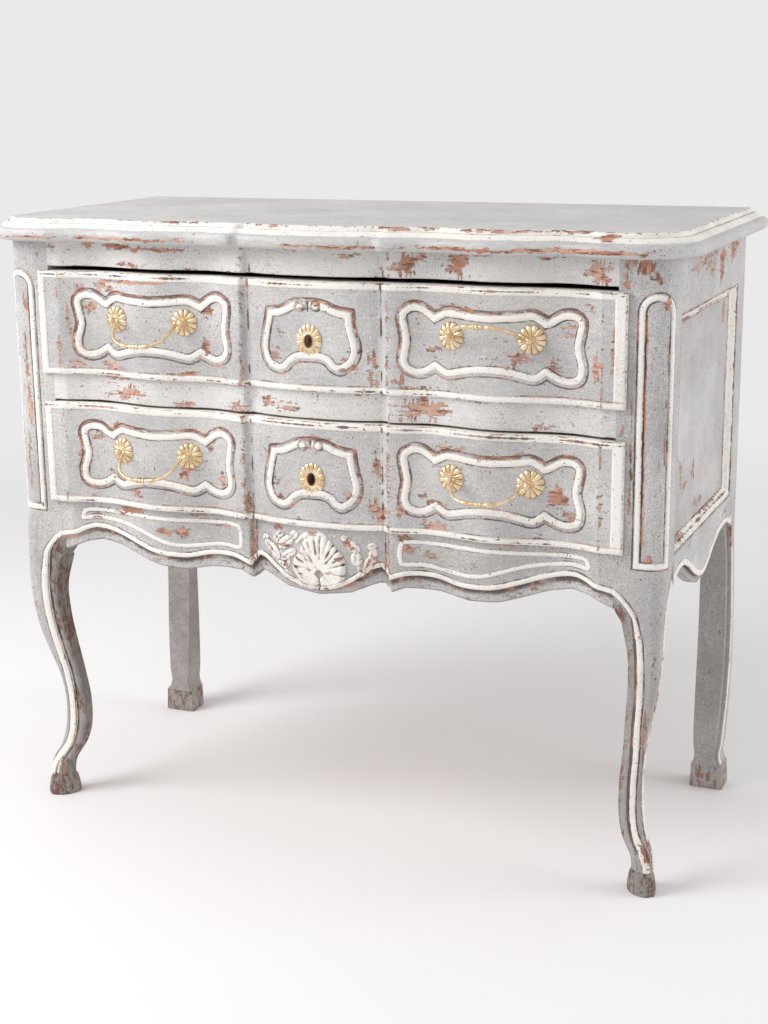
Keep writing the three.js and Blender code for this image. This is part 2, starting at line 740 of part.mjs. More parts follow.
const slopeStep = 1;
const faceSlope = (x) => (faceY(x + slopeStep) - faceY(x - slopeStep)) / (2 * slopeStep);
const rosetteX = openingHalf * handleShare;
const innerRosetteX = rosetteX - rosetteSpacing / 2;
const outerRosetteX = rosetteX + rosetteSpacing / 2;
const pivotY = (faceY(innerRosetteX) + faceY(outerRosetteX)) / 2 - hubReach;
const shankEndY = frontThickness + nutThickness + shankRadius;
const rosetteShares = [[1, 0], [1, 0.35], [0.85, 0.75], [0.3, 1]];
function handlePost(x, z, bailSide) {
  const disc = loft(rosetteShares.map(([size, forward]) => rosetteRing([
    size,
    rosetteSeat + (rosetteThickness + rosetteCrown) * forward,
  ])));
  disc.rotateZ(Math.atan(faceSlope(x)));
  disc.translate(x, faceY(x), z);
  const hub = new THREE.SphereGeometry(hubRadius, roundSegments, roundSegments / 2 + 1);
  hub.translate(x, pivotY, z);
  const shank = barBack(shankRadius, pivotY, shankEndY, x, z);
  const bore = new THREE.CylinderGeometry(boreRadius, boreRadius, hubRadius * 2, roundSegments);
  bore.rotateZ(Math.PI / 2);
  bore.translate(x + bailSide * hubRadius, pivotY, z);
  return geometryOf(solid(disc).add(solid(shank)).add(solid(hub)).subtract(solid(bore)));
}

const nutSides = 6;
function handleNut(x, z) {
  const hole = shankRadius + pinClearance * 2;
  const nut = new THREE.LatheGeometry([
    new THREE.Vector2(hole, 0),
    new THREE.Vector2(nutRadius, 0),
    new THREE.Vector2(nutRadius, nutThickness),
    new THREE.Vector2(hole, nutThickness),
    new THREE.Vector2(hole, 0),
  ], nutSides);
  nut.translate(x, frontThickness + glueGap, z);
  return geometryOf(solid(nut));
}

// The bail: one bar bent to a flattened half ring, with turned beads at its middle and a pin
// turned outwards at each end. Rows of the beads: distance from the middle, and radius.
const bailSquareness = 2.6;
const bailSides = 6;
const bailEndSteps = 8;
const pathSamples = 400;
const beadSpan = 26;
const beadShares = [
  [0, 1], [0.09, 1], [0.13, 0.7], [0.18, 0.95], [0.27, 0.95], [0.31, 0.55], [0.46, 0.55], [0.68, 0.97],
  [0.84, 0.85], [1, 0.6],
];
function bailPoint(angle, half) {
  const flatten = (value) => Math.sign(value) * Math.abs(value) ** (2 / bailSquareness);
  return [half * flatten(Math.cos(angle)), -bailDrop * flatten(Math.sin(angle))];
}

function bailPath(half) {
  const lastSample = pathSamples - 1;
  const angles = Array.from({ length: pathSamples }, (unused, i) => Math.PI * i / lastSample);
  const points = angles.map((angle) => bailPoint(angle, half));
  const lengths = [0];
  for (let i = 1; i < pathSamples; i += 1) {
    const step = Math.hypot(points[i][0] - points[i - 1][0], points[i][1] - points[i - 1][1]);
    lengths.push(lengths[i - 1] + step);
  }
  const middle = lengths[lastSample] / 2;
  const at = (distance) => {
    const found = lengths.findIndex((length) => length >= distance);
    const i = found < 0 ? lastSample : Math.max(1, found);
    const share = (distance - lengths[i - 1]) / (lengths[i] - lengths[i - 1]);
    const point = [0, 1].map((k) => points[i - 1][k] + (points[i][k] - points[i - 1][k]) * share);
    const tangent = [0, 1].map((k) => (points[i][k] - points[i - 1][k]) / (lengths[i] - lengths[i - 1]));
    return { point, tangent };
  };
  return { at, middle };
}

function bailGeometry(x, z, angle) {
  const half = rosetteSpacing / 2 - bailInset;
  const { at, middle } = bailPath(half);
  const places = beadShares.map(([place, radius]) => [beadSpan * place, bailBeadRadius * radius]);
  for (let i = 1; i <= bailEndSteps; i += 1) {
    places.push([beadSpan + (middle - beadSpan) * i / bailEndSteps, bailRadius]);
  }
  const left = places.slice(1).reverse().map(([distance, radius]) => [middle - distance, radius]);
  const right = places.map(([distance, radius]) => [middle + distance, radius]);
  const rings = [...left, ...right].map(([distance, radius]) => {
    const { point, tangent } = at(distance);
    return Array.from({ length: bailSides }, (unused, i) => {
      const around = 2 * Math.PI * i / bailSides;
      const out = radius * Math.cos(around);
      return [point[0] - tangent[1] * out, radius * Math.sin(around), point[1] + tangent[0] * out];
    });
  });
  const pins = [-1, 1].map((side) => {
    const pin = new THREE.CylinderGeometry(bailPinRadius, bailPinRadius, bailInset, bailSides);
    pin.rotateZ(Math.PI / 2);
    pin.translate(side * (half + bailInset / 2), 0, 0);
    return solid(pin);
  });
  const eyes = [-1, 1].map((side) => {
    const eye = new THREE.SphereGeometry(bailEyeRadius, bailSides, bailSides / 2 + 1);
    eye.translate(side * half, 0, 0);
    return solid(eye);
  });
  const whole = [...pins, ...eyes].reduce((bail, piece) => bail.add(piece), solid(loft(rings)));
  const geometry = geometryOf(whole);
  geometry.rotateX(-THREE.MathUtils.degToRad(angle));
  geometry.translate(x, pivotY, z);
  return geometry;
}

// Escutcheon: a petalled oval plate with a keyhole, pinned on the middle of the drawer front
const ovalSegments = 42;
const petalShare = 0.07;
const plateShares = [[1, 0], [1, 0.4], [0.55, 1]];
function oval(width, height, y, petals = 0) {
  return Array.from({ length: ovalSegments }, (unused, i) => {
    const angle = 2 * Math.PI * i / ovalSegments;
    const size = 1 - petalShare * (petals ? Math.abs(Math.cos(petals * angle / 2)) : 0);
    return [width / 2 * size * Math.cos(angle), y, height / 2 * size * Math.sin(angle)];
  });
}
function keyhole(width, height, y0, y1) {
  return loft([oval(width, height, y0), oval(width, height, y1)]);
}
function escutcheon(z) {
  const seatY = faceY(0) - glueGap;
  const plate = solid(loft(plateShares.map(([size, forward]) => {
    const y = seatY - escutcheonThickness * forward;
    return oval(escutcheonWidth * size, escutcheonHeight * size, y, escutcheonPetals);
  })));
  const hole = solid(keyhole(keyholeWidth, keyholeHeight, seatY - overrun, seatY + overrun));
  const geometry = geometryOf(plate.subtract(hole));
  geometry.translate(0, 0, z);
  return geometry;
}

// A drawer: a lipped serpentine front, two grooved sides, a back, a bottom held in the grooves,
// a lock with its bolt, an escutcheon, and two bail handles on nutted posts
function drawer(name, bottomZ, angles) {
  const topZ = bottomZ + drawerFrontHeight;
  const boxZ = bottomZ + lipBottom + glueGap;
  const handleZ = bottomZ + rosetteRise;
  const lockZ = bottomZ + escutcheonRise;
  const handleXs = [-outerRosetteX, -innerRosetteX, innerRosetteX, outerRosetteX];

  const lip = solid(prismUp(frontShell(frontHalf, 0, drawerProud - glueGap), bottomZ, topZ));
  const body = solid(prismUp(frontPlan(drawerHalf, drawerProud - stripLean, frontThickness), boxZ, topZ));
  const keyway = (y0, y1) => {
    const hole = keyhole(keyholeWidth - keyholeStep, keyholeHeight - keyholeStep, y0, y1);
    return solid(hole.translate(0, 0, lockZ));
  };
  const holes = handleXs.map((x) => solid(barBack(
    shankHoleRadius,
    -overrun,
    frontThickness + overrun,
    x,
    handleZ,
  )));
  const cuts = [keyway(faceY(0) - overrun, frontThickness + overrun), ...holes];
  const front = cuts.reduce((board, cut) => board.subtract(cut), lip.add(body));
  place(`${name}_front`, geometryOf(front), greyPaint);

  const startY = frontThickness + glueGap;
  const endY = backY - backPanelThickness - drawerEndGap;
  const innerX = drawerHalf - drawerSideThickness;
  const floorZ = boxZ + drawerBottomRaise;
  const grooveTop = floorZ + drawerBottomThickness + glueGap;
  const sideSection = [
    [innerX, boxZ],
    [drawerHalf, boxZ],
    [drawerHalf, boxZ + drawerSideHeight],
    [innerX, boxZ + drawerSideHeight],
    [innerX, grooveTop],
    [innerX + grooveDepth, grooveTop],
    [innerX + grooveDepth, floorZ - glueGap],
    [innerX, floorZ - glueGap],
  ];
  place(`${name}_side_right`, prismBack(sideSection, startY, endY), rawWood);
  place(`${name}_side_left`, prismBack(sideSection.map(([x, z]) => [-x, z]), startY, endY), rawWood);
  const backHalfWidth = innerX - glueGap;
  const drawerBack = block(
    -backHalfWidth,
    backHalfWidth,
    endY - drawerBackThickness,
    endY,
    grooveTop,
    boxZ + drawerSideHeight,
  );
  place(`${name}_back`, drawerBack, rawWood);
  const floorHalf = innerX + grooveDepth - glueGap;
  const floorTop = floorZ + drawerBottomThickness;
  place(`${name}_bottom`, block(-floorHalf, floorHalf, startY, endY, floorZ, floorTop), rawWood);

  place(`${name}_escutcheon`, escutcheon(lockZ), brass);
  const lockCase = solid(block(
    -lockWidth / 2,
    lockWidth / 2,
    lockBackY,
    lockBackY + lockThickness,
    topZ - lockHeight,
    topZ,
  ));
  const boltTop = topZ + boltProud;
  const channel = boltSpace(boltTop - boltLength - boltClearance, boltTop + overrun);
  const lockHole = keyway(faceY(0), boltFrontY);
  place(`${name}_lock_case`, geometryOf(lockCase.subtract(channel).subtract(lockHole)), iron);
  const bolt = block(
    -boltWidth / 2,
    boltWidth / 2,
    boltFrontY,
    boltFrontY + boltThickness,
    boltTop - boltLength,
    boltTop,
  );
  place(`${name}_lock_bolt`, bolt, iron);

  const hands = ['left', 'right'];
  [-1, 1].forEach((side, index) => {
    const hand = hands[index];
    const ends = side < 0 ? [-outerRosetteX, -innerRosetteX] : [innerRosetteX, outerRosetteX];
    ends.forEach((x, end) => {
      const bailSide = end === 0 ? 1 : -1;
      const post = `${name}_handle_${hand}_post_${hands[end]}`;
      place(post, handlePost(x, handleZ, bailSide), brass);
      place(`${name}_handle_${hand}_nut_${hands[end]}`, handleNut(x, handleZ), iron);
    });
    place(`${name}_bail_${hand}`, bailGeometry(side * rosetteX, handleZ, angles[index]), brass);
  });
}
drawer('upper_drawer', upperDrawerBottom, [bailAngle, raisedBailAngle]);
drawer('lower_drawer', lowerDrawerBottom, [bailAngle, forwardBailAngle]);

// The chest is centred front to back on its own outline.
const outline = new THREE.Box3().setFromObject(commode);
commode.position.y = -(outline.min.y + outline.max.y) / 2;

export default commode;
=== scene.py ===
# Painted commode chest with a serpentine front, two lipped drawers and cabriole front legs.
# Sizes are in millimetres in the maker's own measure: x across from the middle, y back from the
# plane of the drawer fronts' ends, z up from the floor. They turn into metres in the CAD's frame.
import math

import bmesh
import bpy
import numpy as np
from mathutils import Matrix, Vector


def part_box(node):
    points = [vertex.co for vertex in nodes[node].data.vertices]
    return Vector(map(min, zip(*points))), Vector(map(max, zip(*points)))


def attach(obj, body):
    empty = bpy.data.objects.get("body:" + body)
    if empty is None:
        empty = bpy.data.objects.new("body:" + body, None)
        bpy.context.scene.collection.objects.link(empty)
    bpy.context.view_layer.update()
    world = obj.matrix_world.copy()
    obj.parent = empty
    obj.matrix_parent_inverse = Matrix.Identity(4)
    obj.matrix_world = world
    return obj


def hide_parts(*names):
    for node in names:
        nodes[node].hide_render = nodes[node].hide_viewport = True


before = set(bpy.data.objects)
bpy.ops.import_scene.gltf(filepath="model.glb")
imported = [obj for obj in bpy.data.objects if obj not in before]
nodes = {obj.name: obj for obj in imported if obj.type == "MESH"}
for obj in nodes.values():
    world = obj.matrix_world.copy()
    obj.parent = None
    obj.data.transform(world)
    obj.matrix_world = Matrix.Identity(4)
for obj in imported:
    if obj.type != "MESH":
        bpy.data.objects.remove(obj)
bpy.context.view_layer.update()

case_half = 503.0
opening_half = 432.0
frame_face = 8.0
post_back = 56.0
case_back = 465.0
shift_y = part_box("rear_post_right")[1].y * 1000 - case_back


# ---- The room: a pale floor, soft light from the left, and the camera where the photograph was
# taken. Far from the chest the floor fades into the plain background.
def place_of(x, y, z):
    """A point of the maker's measure as a place in metres."""
    return Vector((x / 1000, (y + shift_y) / 1000, z / 1000))


camera_place = (1004.6, -2121.5, 1111.7)
camera_turn = 22.978
camera_tilt = -14.267
camera_roll = -0.633
camera_lens = 59.91
turn, tilt, roll = (math.radians(a) for a in (camera_turn, camera_tilt, camera_roll))
ahead = Vector((-math.sin(turn) * math.cos(tilt), math.cos(turn) * math.cos(tilt), math.sin(tilt)))
flat_right = ahead.cross(Vector((0, 0, 1))).normalized()
flat_up = flat_right.cross(ahead)
right = flat_right * math.cos(roll) + flat_up * math.sin(roll)
up = flat_up * math.cos(roll) - flat_right * math.sin(roll)
camera = bpy.data.objects.new("photo_camera", bpy.data.cameras.new("photo_camera"))
bpy.context.scene.collection.objects.link(camera)
camera.matrix_world = Matrix.Translation(place_of(*camera_place)) @ Matrix(
    (right, up, -ahead)
).transposed().to_4x4()
camera.data.sensor_width = 36
camera.data.lens = camera_lens
camera.data.clip_end = 100
bpy.context.scene.camera = camera
bpy.context.scene.view_settings.view_transform = "Standard"


class Wire:
    """A socket of a finish, on which plain sums add the nodes that work them out."""

    def __init__(self, finish, socket):
        self.finish, self.socket = finish, socket

    def maths(self, operation, *others, swapped=False):
        values = (others[0], self) if swapped else (self, *others)
        sockets = dict(enumerate(values))
        return self.finish.node("Math", {"operation": operation}, sockets)

    def __add__(self, other):
        return self.maths("ADD", other)

    def __sub__(self, other):
        return self.maths("SUBTRACT", other)

    def __rsub__(self, other):
        return self.maths("SUBTRACT", other, swapped=True)

    def __mul__(self, other):
        return self.maths("MULTIPLY", other)

    __radd__ = __add__
    __rmul__ = __mul__

    def greater(self, other):
        return self.maths("MAXIMUM", other)

    def steps(self, low, high, start=0.0, end=1.0):
        """Rises smoothly from start to end as the value goes from low to high."""
        settings = {"interpolation_type": "SMOOTHSTEP"}
        return self.finish.node("MapRange", settings, {0: self, 1: low, 2: high, 3: start, 4: end})


class Finish:
    """The nodes of a material, or of the world's light, and the one way in which they are added."""

    def __init__(self, name, world=None):
        self.material = world or bpy.data.materials.new(name)
        self.material.use_nodes = True
        self.tree = self.material.node_tree
        self.tree.nodes.clear()

    def node(self, kind, settings=None, sockets=None, out=0):
        made = self.tree.nodes.new("ShaderNode" + kind)
        for setting, value in (settings or {}).items():
            setattr(made, setting, value)
        for key, value in (sockets or {}).items():
            if isinstance(value, Wire):
                self.tree.links.new(value.socket, made.inputs[key])
            else:
                made.inputs[key].default_value = value
        return Wire(self, made.outputs[out]) if made.outputs else None

    def mark(self, name):
        return self.node("Attribute", {"attribute_name": name}, out=2)

    def here(self, stretch=(1, 1, 1)):
        spot = self.node("TexCoord", out=3)
        return self.node("VectorMath", {"operation": "MULTIPLY"}, {0: spot, 1: stretch})

    def grains(self, spot, fineness, detail=2.0, rough=0.5):
        sockets = {"Vector": spot, "Scale": fineness, "Detail": detail, "Roughness": rough}
        return self.node("TexNoise", {}, sockets)

    def blend(self, under, over, share):
        return self.node("Mix", {"data_type": "RGBA"}, {0: share, 6: under, 7: over}, out=2)

    def surface(self, colour, roughness, metallic=0.0, height=None, depth=0.0, **more):
        sockets = {"Base Color": colour, "Roughness": roughness, "Metallic": metallic, **more}
        if height is not None:
            bump = {"Height": height, "Distance": depth, "Strength": 1.0}
            sockets["Normal"] = self.node("Bump", {}, bump)
        shader = self.node("BsdfPrincipled", {}, sockets)
        self.node("OutputMaterial", {}, {0: shader})
        return self.material


def painted_as(red, green, blue):
    """A colour as a painter reads it off a chart, 0 to 255, turned into light."""
    light = [c / 255 for c in (red, green, blue)]
    return (*[c / 12.92 if c <= 0.04045 else ((c + 0.055) / 1.055) ** 2.4 for c in light], 1.0)


backdrop = painted_as(235, 234, 235)
floor_near = 1.3
floor_far = 3.2
floor_reach = 40.0
floor_mesh = bpy.data.meshes.new("floor")
floor_mesh.from_pydata(
    [(-floor_reach, -floor_reach, 0), (floor_reach, -floor_reach, 0),
     (floor_reach, floor_reach, 0), (-floor_reach, floor_reach, 0)],
    [], [(0, 1, 2, 3)],
)
floor = bpy.data.objects.new("floor", floor_mesh)
bpy.context.scene.collection.objects.link(floor)
floor_finish = Finish("floor_cloth")
middle = floor_finish.node("VectorMath", {"operation": "LENGTH"}, {0: floor_finish.here()}, out=1)
ray = floor_finish.node("LightPath", out=0)
glossy = floor_finish.node("LightPath", out=3)
faded = middle.steps(floor_near, floor_far) * ray.greater(glossy)
cloth = floor_finish.node("BsdfDiffuse", {}, {"Color": painted_as(246, 244, 245)})
far_away = floor_finish.node("Emission", {}, {"Color": backdrop, "Strength": 1.0})
floor_look = floor_finish.node("MixShader", {}, {0: faded, 1: cloth, 2: far_away})
floor_finish.node("OutputMaterial", {}, {0: floor_look})
floor_mesh.materials.append(floor_finish.material)

room_light = 0.64
sky = bpy.data.worlds.new("room")
room = Finish("room", sky)
seen = room.node("LightPath", out=0).greater(room.node("LightPath", out=3))
air_light = room.node("Background", {}, {"Color": (1, 1, 1, 1), "Strength": room_light})
air_seen = room.node("Background", {}, {"Color": backdrop, "Strength": 1.0})
air = room.node("MixShader", {}, {0: seen, 1: air_light, 2: air_seen})
room.node("OutputWorld", {}, {0: air})
bpy.context.scene.world = sky


def lamp(name, place, aim, width, power):
    light = bpy.data.lights.new(name, "AREA")
    light.shape = "DISK"
    light.size = width
    light.energy = power
    made = bpy.data.objects.new(name, light)
    made.location = place
    made.rotation_euler = (Vector(aim) - Vector(place)).to_track_quat("-Z", "Y").to_euler()
    bpy.context.scene.collection.objects.link(made)


lamp("window_left", (-1.6, -1.35, 1.95), (-0.2, 0, 0.5), 1.5, 42)
lamp("side_fill", (3.0, 0.6, 1.6), (0.4, 0, 0.5), 2.0, 26)


# ---- The top board: one thick wooden board with a serpentine front edge, screwed down on posts and
# rails. Its edge is moulded to a rounded nose under a stepped cream band, and the field above is
# plain grey paint.
def glide(start, end, share):
    """From start to end as share goes from 0 to 1, level at both ends."""
    return start + (end - start) * (1 - np.cos(np.pi * share)) / 2


centre_half = 98.064
cove_end = 104.064
front_stations = [
    (centre_half, 5.0), (cove_end, 5.0), (111.888, -2.0), (168.048, 9.0), (257.04, -3.0),
    (358.128, 12.0),
]
crease_x = 412.128
bow = 10.0
bow_fall = 15.0
bow_power = 2.5


def front_y(x):
    """How far back a drawer front's face lies at a place across the chest."""
    across = np.abs(np.asarray(x, float))
    face = np.where(across <= centre_half, bow_fall * (across / centre_half) ** bow_power - bow, 0.0)
    for (x0, y0), (x1, y1) in zip(front_stations, front_stations[1:]):
        inside = (across > x0) & (across <= x1)
        face = np.where(inside, glide(y0, y1, (across - x0) / (x1 - x0)), face)
    last_x, last_y = front_stations[-1]
    tail = (across > last_x) & (across < crease_x)
    share = (across - last_x) / (crease_x - last_x)
    return np.where(tail, last_y * np.cos(np.pi / 2 * share), face)


def spread(places, step):
    """Places filled in between marks so that none stand further apart than step."""
    filled = [places[0]]
    for start, end in zip(places, places[1:]):
        count = max(1, math.ceil((end - start) / step))
        filled += [start + (end - start) * k / count for k in range(1, count + 1)]
    return filled


def both_ways(places):
    return np.array([-x for x in reversed(places[1:])] + list(places))


station_marks = [0, *(x for x, y in front_stations), crease_x]


def front_places(half, step):
    return both_ways(spread([m for m in station_marks if m < half] + [half], step))


smooth_angle = math.radians(50)


def skin(node, way, points, faces, finish, marks, body="carcass"):
    """The visible piece in place of a CAD node, from points in the maker's measure, with marks
    that its finish reads."""
    name = f"{node}_{way}"
    points = np.asarray(points, float).reshape(-1, 3).copy()
    points[:, 1] += shift_y
    mesh = bpy.data.meshes.new(name)
    mesh.from_pydata((points / 1000).tolist(), [], faces)
    for mark, values in marks.items():
        layer = mesh.attributes.new(mark, "FLOAT", "POINT")
        layer.data.foreach_set("value", np.asarray(values, np.float32).ravel())
    work = bmesh.new()
    work.from_mesh(mesh)
    bmesh.ops.remove_doubles(work, verts=work.verts, dist=1e-6)
    bmesh.ops.recalc_face_normals(work, faces=work.faces)
    work.to_mesh(mesh)
    work.free()
    mesh.shade_smooth()
    mesh.set_sharp_from_angle(angle=smooth_angle)
    mesh.materials.append(finish)
    made = bpy.data.objects.new(name, mesh)
    bpy.context.scene.collection.objects.link(made)
    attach(made, body)
    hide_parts(node)


def ring_faces(rows, count, closed=True, start=0):
    """Faces between rows of points that each hold count points."""
    faces = []
    for r in range(rows - 1):
        for i in range(count if closed else count - 1):
            a, b = start + r * count + i, start + r * count + (i + 1) % count
            faces.append((a, b, b + count, a + count))
    return faces


def sections(rings):
    """Points and faces of a closed piece through rings of equal count, capped at its ends."""
    rings = np.asarray(rings, float)
    rows, count = rings.shape[:2]
    faces = ring_faces(rows, count)
    faces.append(tuple(range(count)))
    faces.append(tuple(range((rows - 1) * count, rows * count)))
    return rings.reshape(-1, 3), faces


mark_names = ("cream", "line", "worn", "bare", "dirt")


def all_marks(fronts, behind):
    """The five marks of a piece of rings: a grid over its front, and a row for the ring's rest."""
    rows = zip(mark_names, fronts, behind)
    return {name: np.hstack([grid, np.tile(row, (len(grid), 1))]) for name, grid, row in rows}


grey_deep, grey_light = painted_as(172, 170, 169), painted_as(224, 222, 219)
cream, cream_dull = painted_as(242, 238, 232), painted_as(216, 208, 200)
salmon, orange_wood = painted_as(212, 168, 148), painted_as(190, 134, 106)
brown_wood, dark_line, soot_and_shade = painted_as(118, 80, 68), painted_as(84, 66, 62), painted_as(142, 126, 116)
full_black = (0.0, 0.0, 0.0, 1.0)


def long_grained(made, grain, share):
    """Where a finish is read, drawn out along the grain: x, y or z."""
    stretch = [1.0, 1.0, 1.0]
    stretch["xyz".index(grain)] = share
    return made.here(tuple(stretch))


def paint(name, grain, wear=0.0, plain=False, shade=1.0, grit=1.0, lift=0.0):
    """Stippled grey paint with cream mouldings, rubbed through to the wood. It reads the marks
    cream, line and worn, which are distances in millimetres, and two shares: bare, and the last
    mark, which darkens the coat towards a sooty brown-grey. That mark stands for grime, and for
    painted shade in recesses, under things and on faces further from the lamp. A shade below 1
    darkens the whole coat and lift raises its grey: painted shade and painted light."""
    made = Finish(name)
    spot = made.here()
    along = long_grained(made, grain, 0.18)
    stipple = made.grains(spot, 520, 1.0, 0.6)
    fine = made.grains(spot, 1100, 1.0, 0.5)
    cloud = made.grains(spot, 9, 3.0, 0.55)
    streak = made.grains(along, 230, 4.0, 0.62)
    ragged = made.grains(spot, 75, 8.0, 0.78)
    torn = made.grains(along, 150, 6.0, 0.78)
    dashes = made.grains(spot, 21, 2.0, 0.5)
    if plain:
        tone = stipple * 0.2 + streak * 0.45 + cloud * 0.35
        coat = made.blend(grey_deep, grey_light, tone.steps(0.2, 0.85))
    else:
        # lift raises the grey: painted light.
        tone = (stipple * 0.45 + fine * 0.4) * grit + cloud * 0.35 + streak * 0.15 + lift
        coat = made.blend(grey_deep, grey_light, tone.steps(0.13 + 0.43 * grit, 0.43 + 0.43 * grit))
    # Painted shade: a shade below 1 darkens the whole coat.
    coat = made.blend(full_black, coat, shade)
    # Grime and painted shade: where the last mark is high, the coat is multiplied by a sooty brown-grey and
    # the bared wood turns darker brown.
    shade_and_grime_share = made.mark("dirt") * (ragged * 0.7 + stipple * 0.3).steps(0.3, 0.6, 0.55, 1.0)
    multiplied = {"data_type": "RGBA", "blend_type": "MULTIPLY"}
    coat = made.node("Mix", multiplied, {0: shade_and_grime_share, 6: coat, 7: soot_and_shade}, out=2)
    uneven = (ragged - 0.5) * 4.0 + (fine - 0.5) * 1.5
    creamy = (made.mark("cream") + uneven).steps(-0.35, 0.35)
    light = made.blend(cream_dull, cream, (cloud * 0.4 + stipple * 0.3 + torn * 0.3).steps(0.36, 0.52))
    coat = made.blend(coat, light, creamy)
    worn = made.mark("worn")
    near = worn.steps(0.0, 3.4, 1.0, 0.0) * dashes.steps(0.42, 0.58)
    noise = (ragged - 0.5) * 1.8 + (torn - 0.5) * 2.1
    over = noise + made.mark("bare") * 0.66 + near * 0.34 + (wear - 0.42)
    bare = over.steps(0.0, 0.03)
    # A dark brown rim round each rubbed patch: painted shadow along the chipped paint's edge.
    rim = over.steps(0.0, 0.1, 1.0, 0.0) * stipple.steps(0.4, 0.6)
    wood = made.blend(salmon, orange_wood, made.grains(spot, 24, 2.0, 0.5).steps(0.42, 0.62))
    dark_wood = (made.grains(along, 210, 4.0, 0.7) + near * 0.12).steps(0.5, 0.58)
    wood = made.blend(wood, brown_wood, (dark_wood.greater(rim) * 0.85).greater(made.mark("dirt") * 1.3))
    shown = made.blend(coat, wood, bare)
    speck = made.grains(spot, 330, 0.0, 0.5).steps(0.75, 0.77) * dashes.steps(0.46, 0.56)
    crack = worn.steps(0.4, 1.6, 1.0, 0.0) * (torn * 0.6 + ragged * 0.4).steps(0.5, 0.54)
    shown = made.blend(shown, brown_wood, speck.greater(crack) * 0.85)
    line = made.mark("line") + (ragged - 0.5) * 2.0 + (fine - 0.5) * 0.6
    drawn = line.steps(0.6, 1.3, 1.0, 0.0) * dashes.steps(0.34, 0.48, 0.6, 1.0)
    rusty = made.grains(spot, 34, 3.0, 0.6).steps(0.52, 0.62) * line.steps(-1.2, -0.3)
    line_colour = made.blend(dark_line, orange_wood, rusty)
    shown = made.blend(shown, line_colour, drawn * 0.9)
    height = stipple * 0.3 + streak * 0.25 + creamy * 0.5 - bare * 0.9 - drawn * 0.4
    return made.surface(shown, bare * 0.12 + 0.55, height=height, depth=0.0003 if plain else 0.0005)


def broken(along, step, seed):
    """A worn edge's unevenness: soft random steps between 0 and 1 along a length."""
    steps = np.random.default_rng(seed).random(4000)
    return np.interp(np.asarray(along) / step + 2000, np.arange(4000), steps)


def nothing(points):
    """Marks of a plain stretch of grey paint."""
    far = np.full(len(points), 99.0)
    return dict(zip(mark_names, (-far, far, far, far * 0, far * 0)))


def patch_mark(first, second, patches):
    """How worn each point is, from patches of (place, place, half width, half height, depth)."""
    worn = np.zeros(np.shape(first))
    torn_u, torn_v = 1.0 * broken(second, 2.6, 7) - 0.5, 1.3 * broken(first, 2.2, 8) - 0.65
    for u, v, half_u, half_v, depth in patches:
        away = ((first - u) / half_u + torn_u) ** 2 + ((second - v) / half_v + torn_v) ** 2
        worn = np.maximum(worn, depth * np.clip(1.6 - away, 0, 1))
    return worn


top_z = 920.0
top_thickness = 32.0
top_half = 535.0
top_front = 27.0
top_corner = 82.0
top_back = 465.3
top_profile = [
    (0.0, 9.7), (0.6, 6.5), (1.8, 4.0), (3.8, 2.2), (6.2, 0.9), (9.0, 0.2), (12.0, 0.0), (14.6, 0.6),
    (16.8, 2.2), (18.2, 4.6), (18.8, 7.0), (18.7, 8.4), (19.2, 9.4), (20.4, 10.2), (21.8, 11.6),
    (23.4, 13.8), (24.8, 16.6), (25.7, 19.4), (25.9, 21.4), (25.5, 22.4), (26.0, 23.2), (27.4, 23.5),
    (29.4, 23.8), (30.9, 24.5), (31.7, 25.7), (32.0, 27.4),
]
top_rows = [0, 2, 5, 9, 14, 20, 30, 60, 120, 200, 280, 350, 400, 440]


def top_ring(inset, z):
    """The board's outline drawn in by inset: front edge, right side, back and left side."""
    half = top_half - inset
    radius = top_corner - inset
    straight = half - radius
    front = front_places(straight, 5.0)
    front = [(x, float(front_y(x)) - top_front + inset) for x in front]
    turn_steps = 16
    corner = []
    for i in range(1, turn_steps + 1):
        angle = math.pi / 2 * i / turn_steps
        rise = float(front_y(straight)) - top_front + inset
        corner.append((straight + radius * math.sin(angle), rise + radius * (1 - math.cos(angle))))
    front = [(-x, y) for x, y in reversed(corner)] + front + corner
    side_start = front[-1][1]
    sides = [side_start + (top_back - side_start) * s / top_rows[-1] for s in top_rows[1:]]
    right_side = [(half, y) for y in sides[:-1]]
    back = [(x, top_back) for x, y in reversed(front)]
    left_side = [(-half, y) for y in reversed(sides[:-1])]
    ring = front + right_side + back + left_side
    return [(x, y, z) for x, y in ring], len(front)


top_rings = []
for rise, inset in top_profile:
    ring, front_count = top_ring(inset, top_z - top_thickness + rise)
    top_rings.append(ring)
top_rings = np.array(top_rings)
count = top_rings.shape[1]
points = list(top_rings.reshape(-1, 3))
faces = ring_faces(len(top_rings), count)
for cap in (0, len(top_rings) - 1):
    ring = top_rings[cap]
    front = ring[:front_count]
    start = len(points)
    for s in top_rows:
        share = s / top_rows[-1]
        points += [(x, y + (top_back - y) * share, z) for x, y, z in front]
    faces += ring_faces(len(top_rows), front_count, closed=False, start=start)
points = np.array(points)
marks = nothing(points)
rises = points[:, 2] - (top_z - top_thickness)
field_half = top_half - top_profile[-1][1]
field_edge = np.minimum(
    field_half - np.abs(points[:, 0]),
    points[:, 1] - (front_y(points[:, 0]) - top_front + top_profile[-1][1]),
)
on_top = rises > top_thickness - 0.05
marks["cream"] = np.where(on_top, -0.2 - field_edge * 0.7, rises - 19.4)
marks["line"] = np.where(on_top, 99, np.abs(rises - 25.7) * 2 + 0.7)
marks["worn"] = np.where(on_top, np.maximum(field_edge, 0) + 0.2, np.abs(rises - 31.6) + 0.2)
marks["worn"] = np.minimum(marks["worn"], np.where(on_top, 99, np.abs(rises - 7.0) + 0.9))
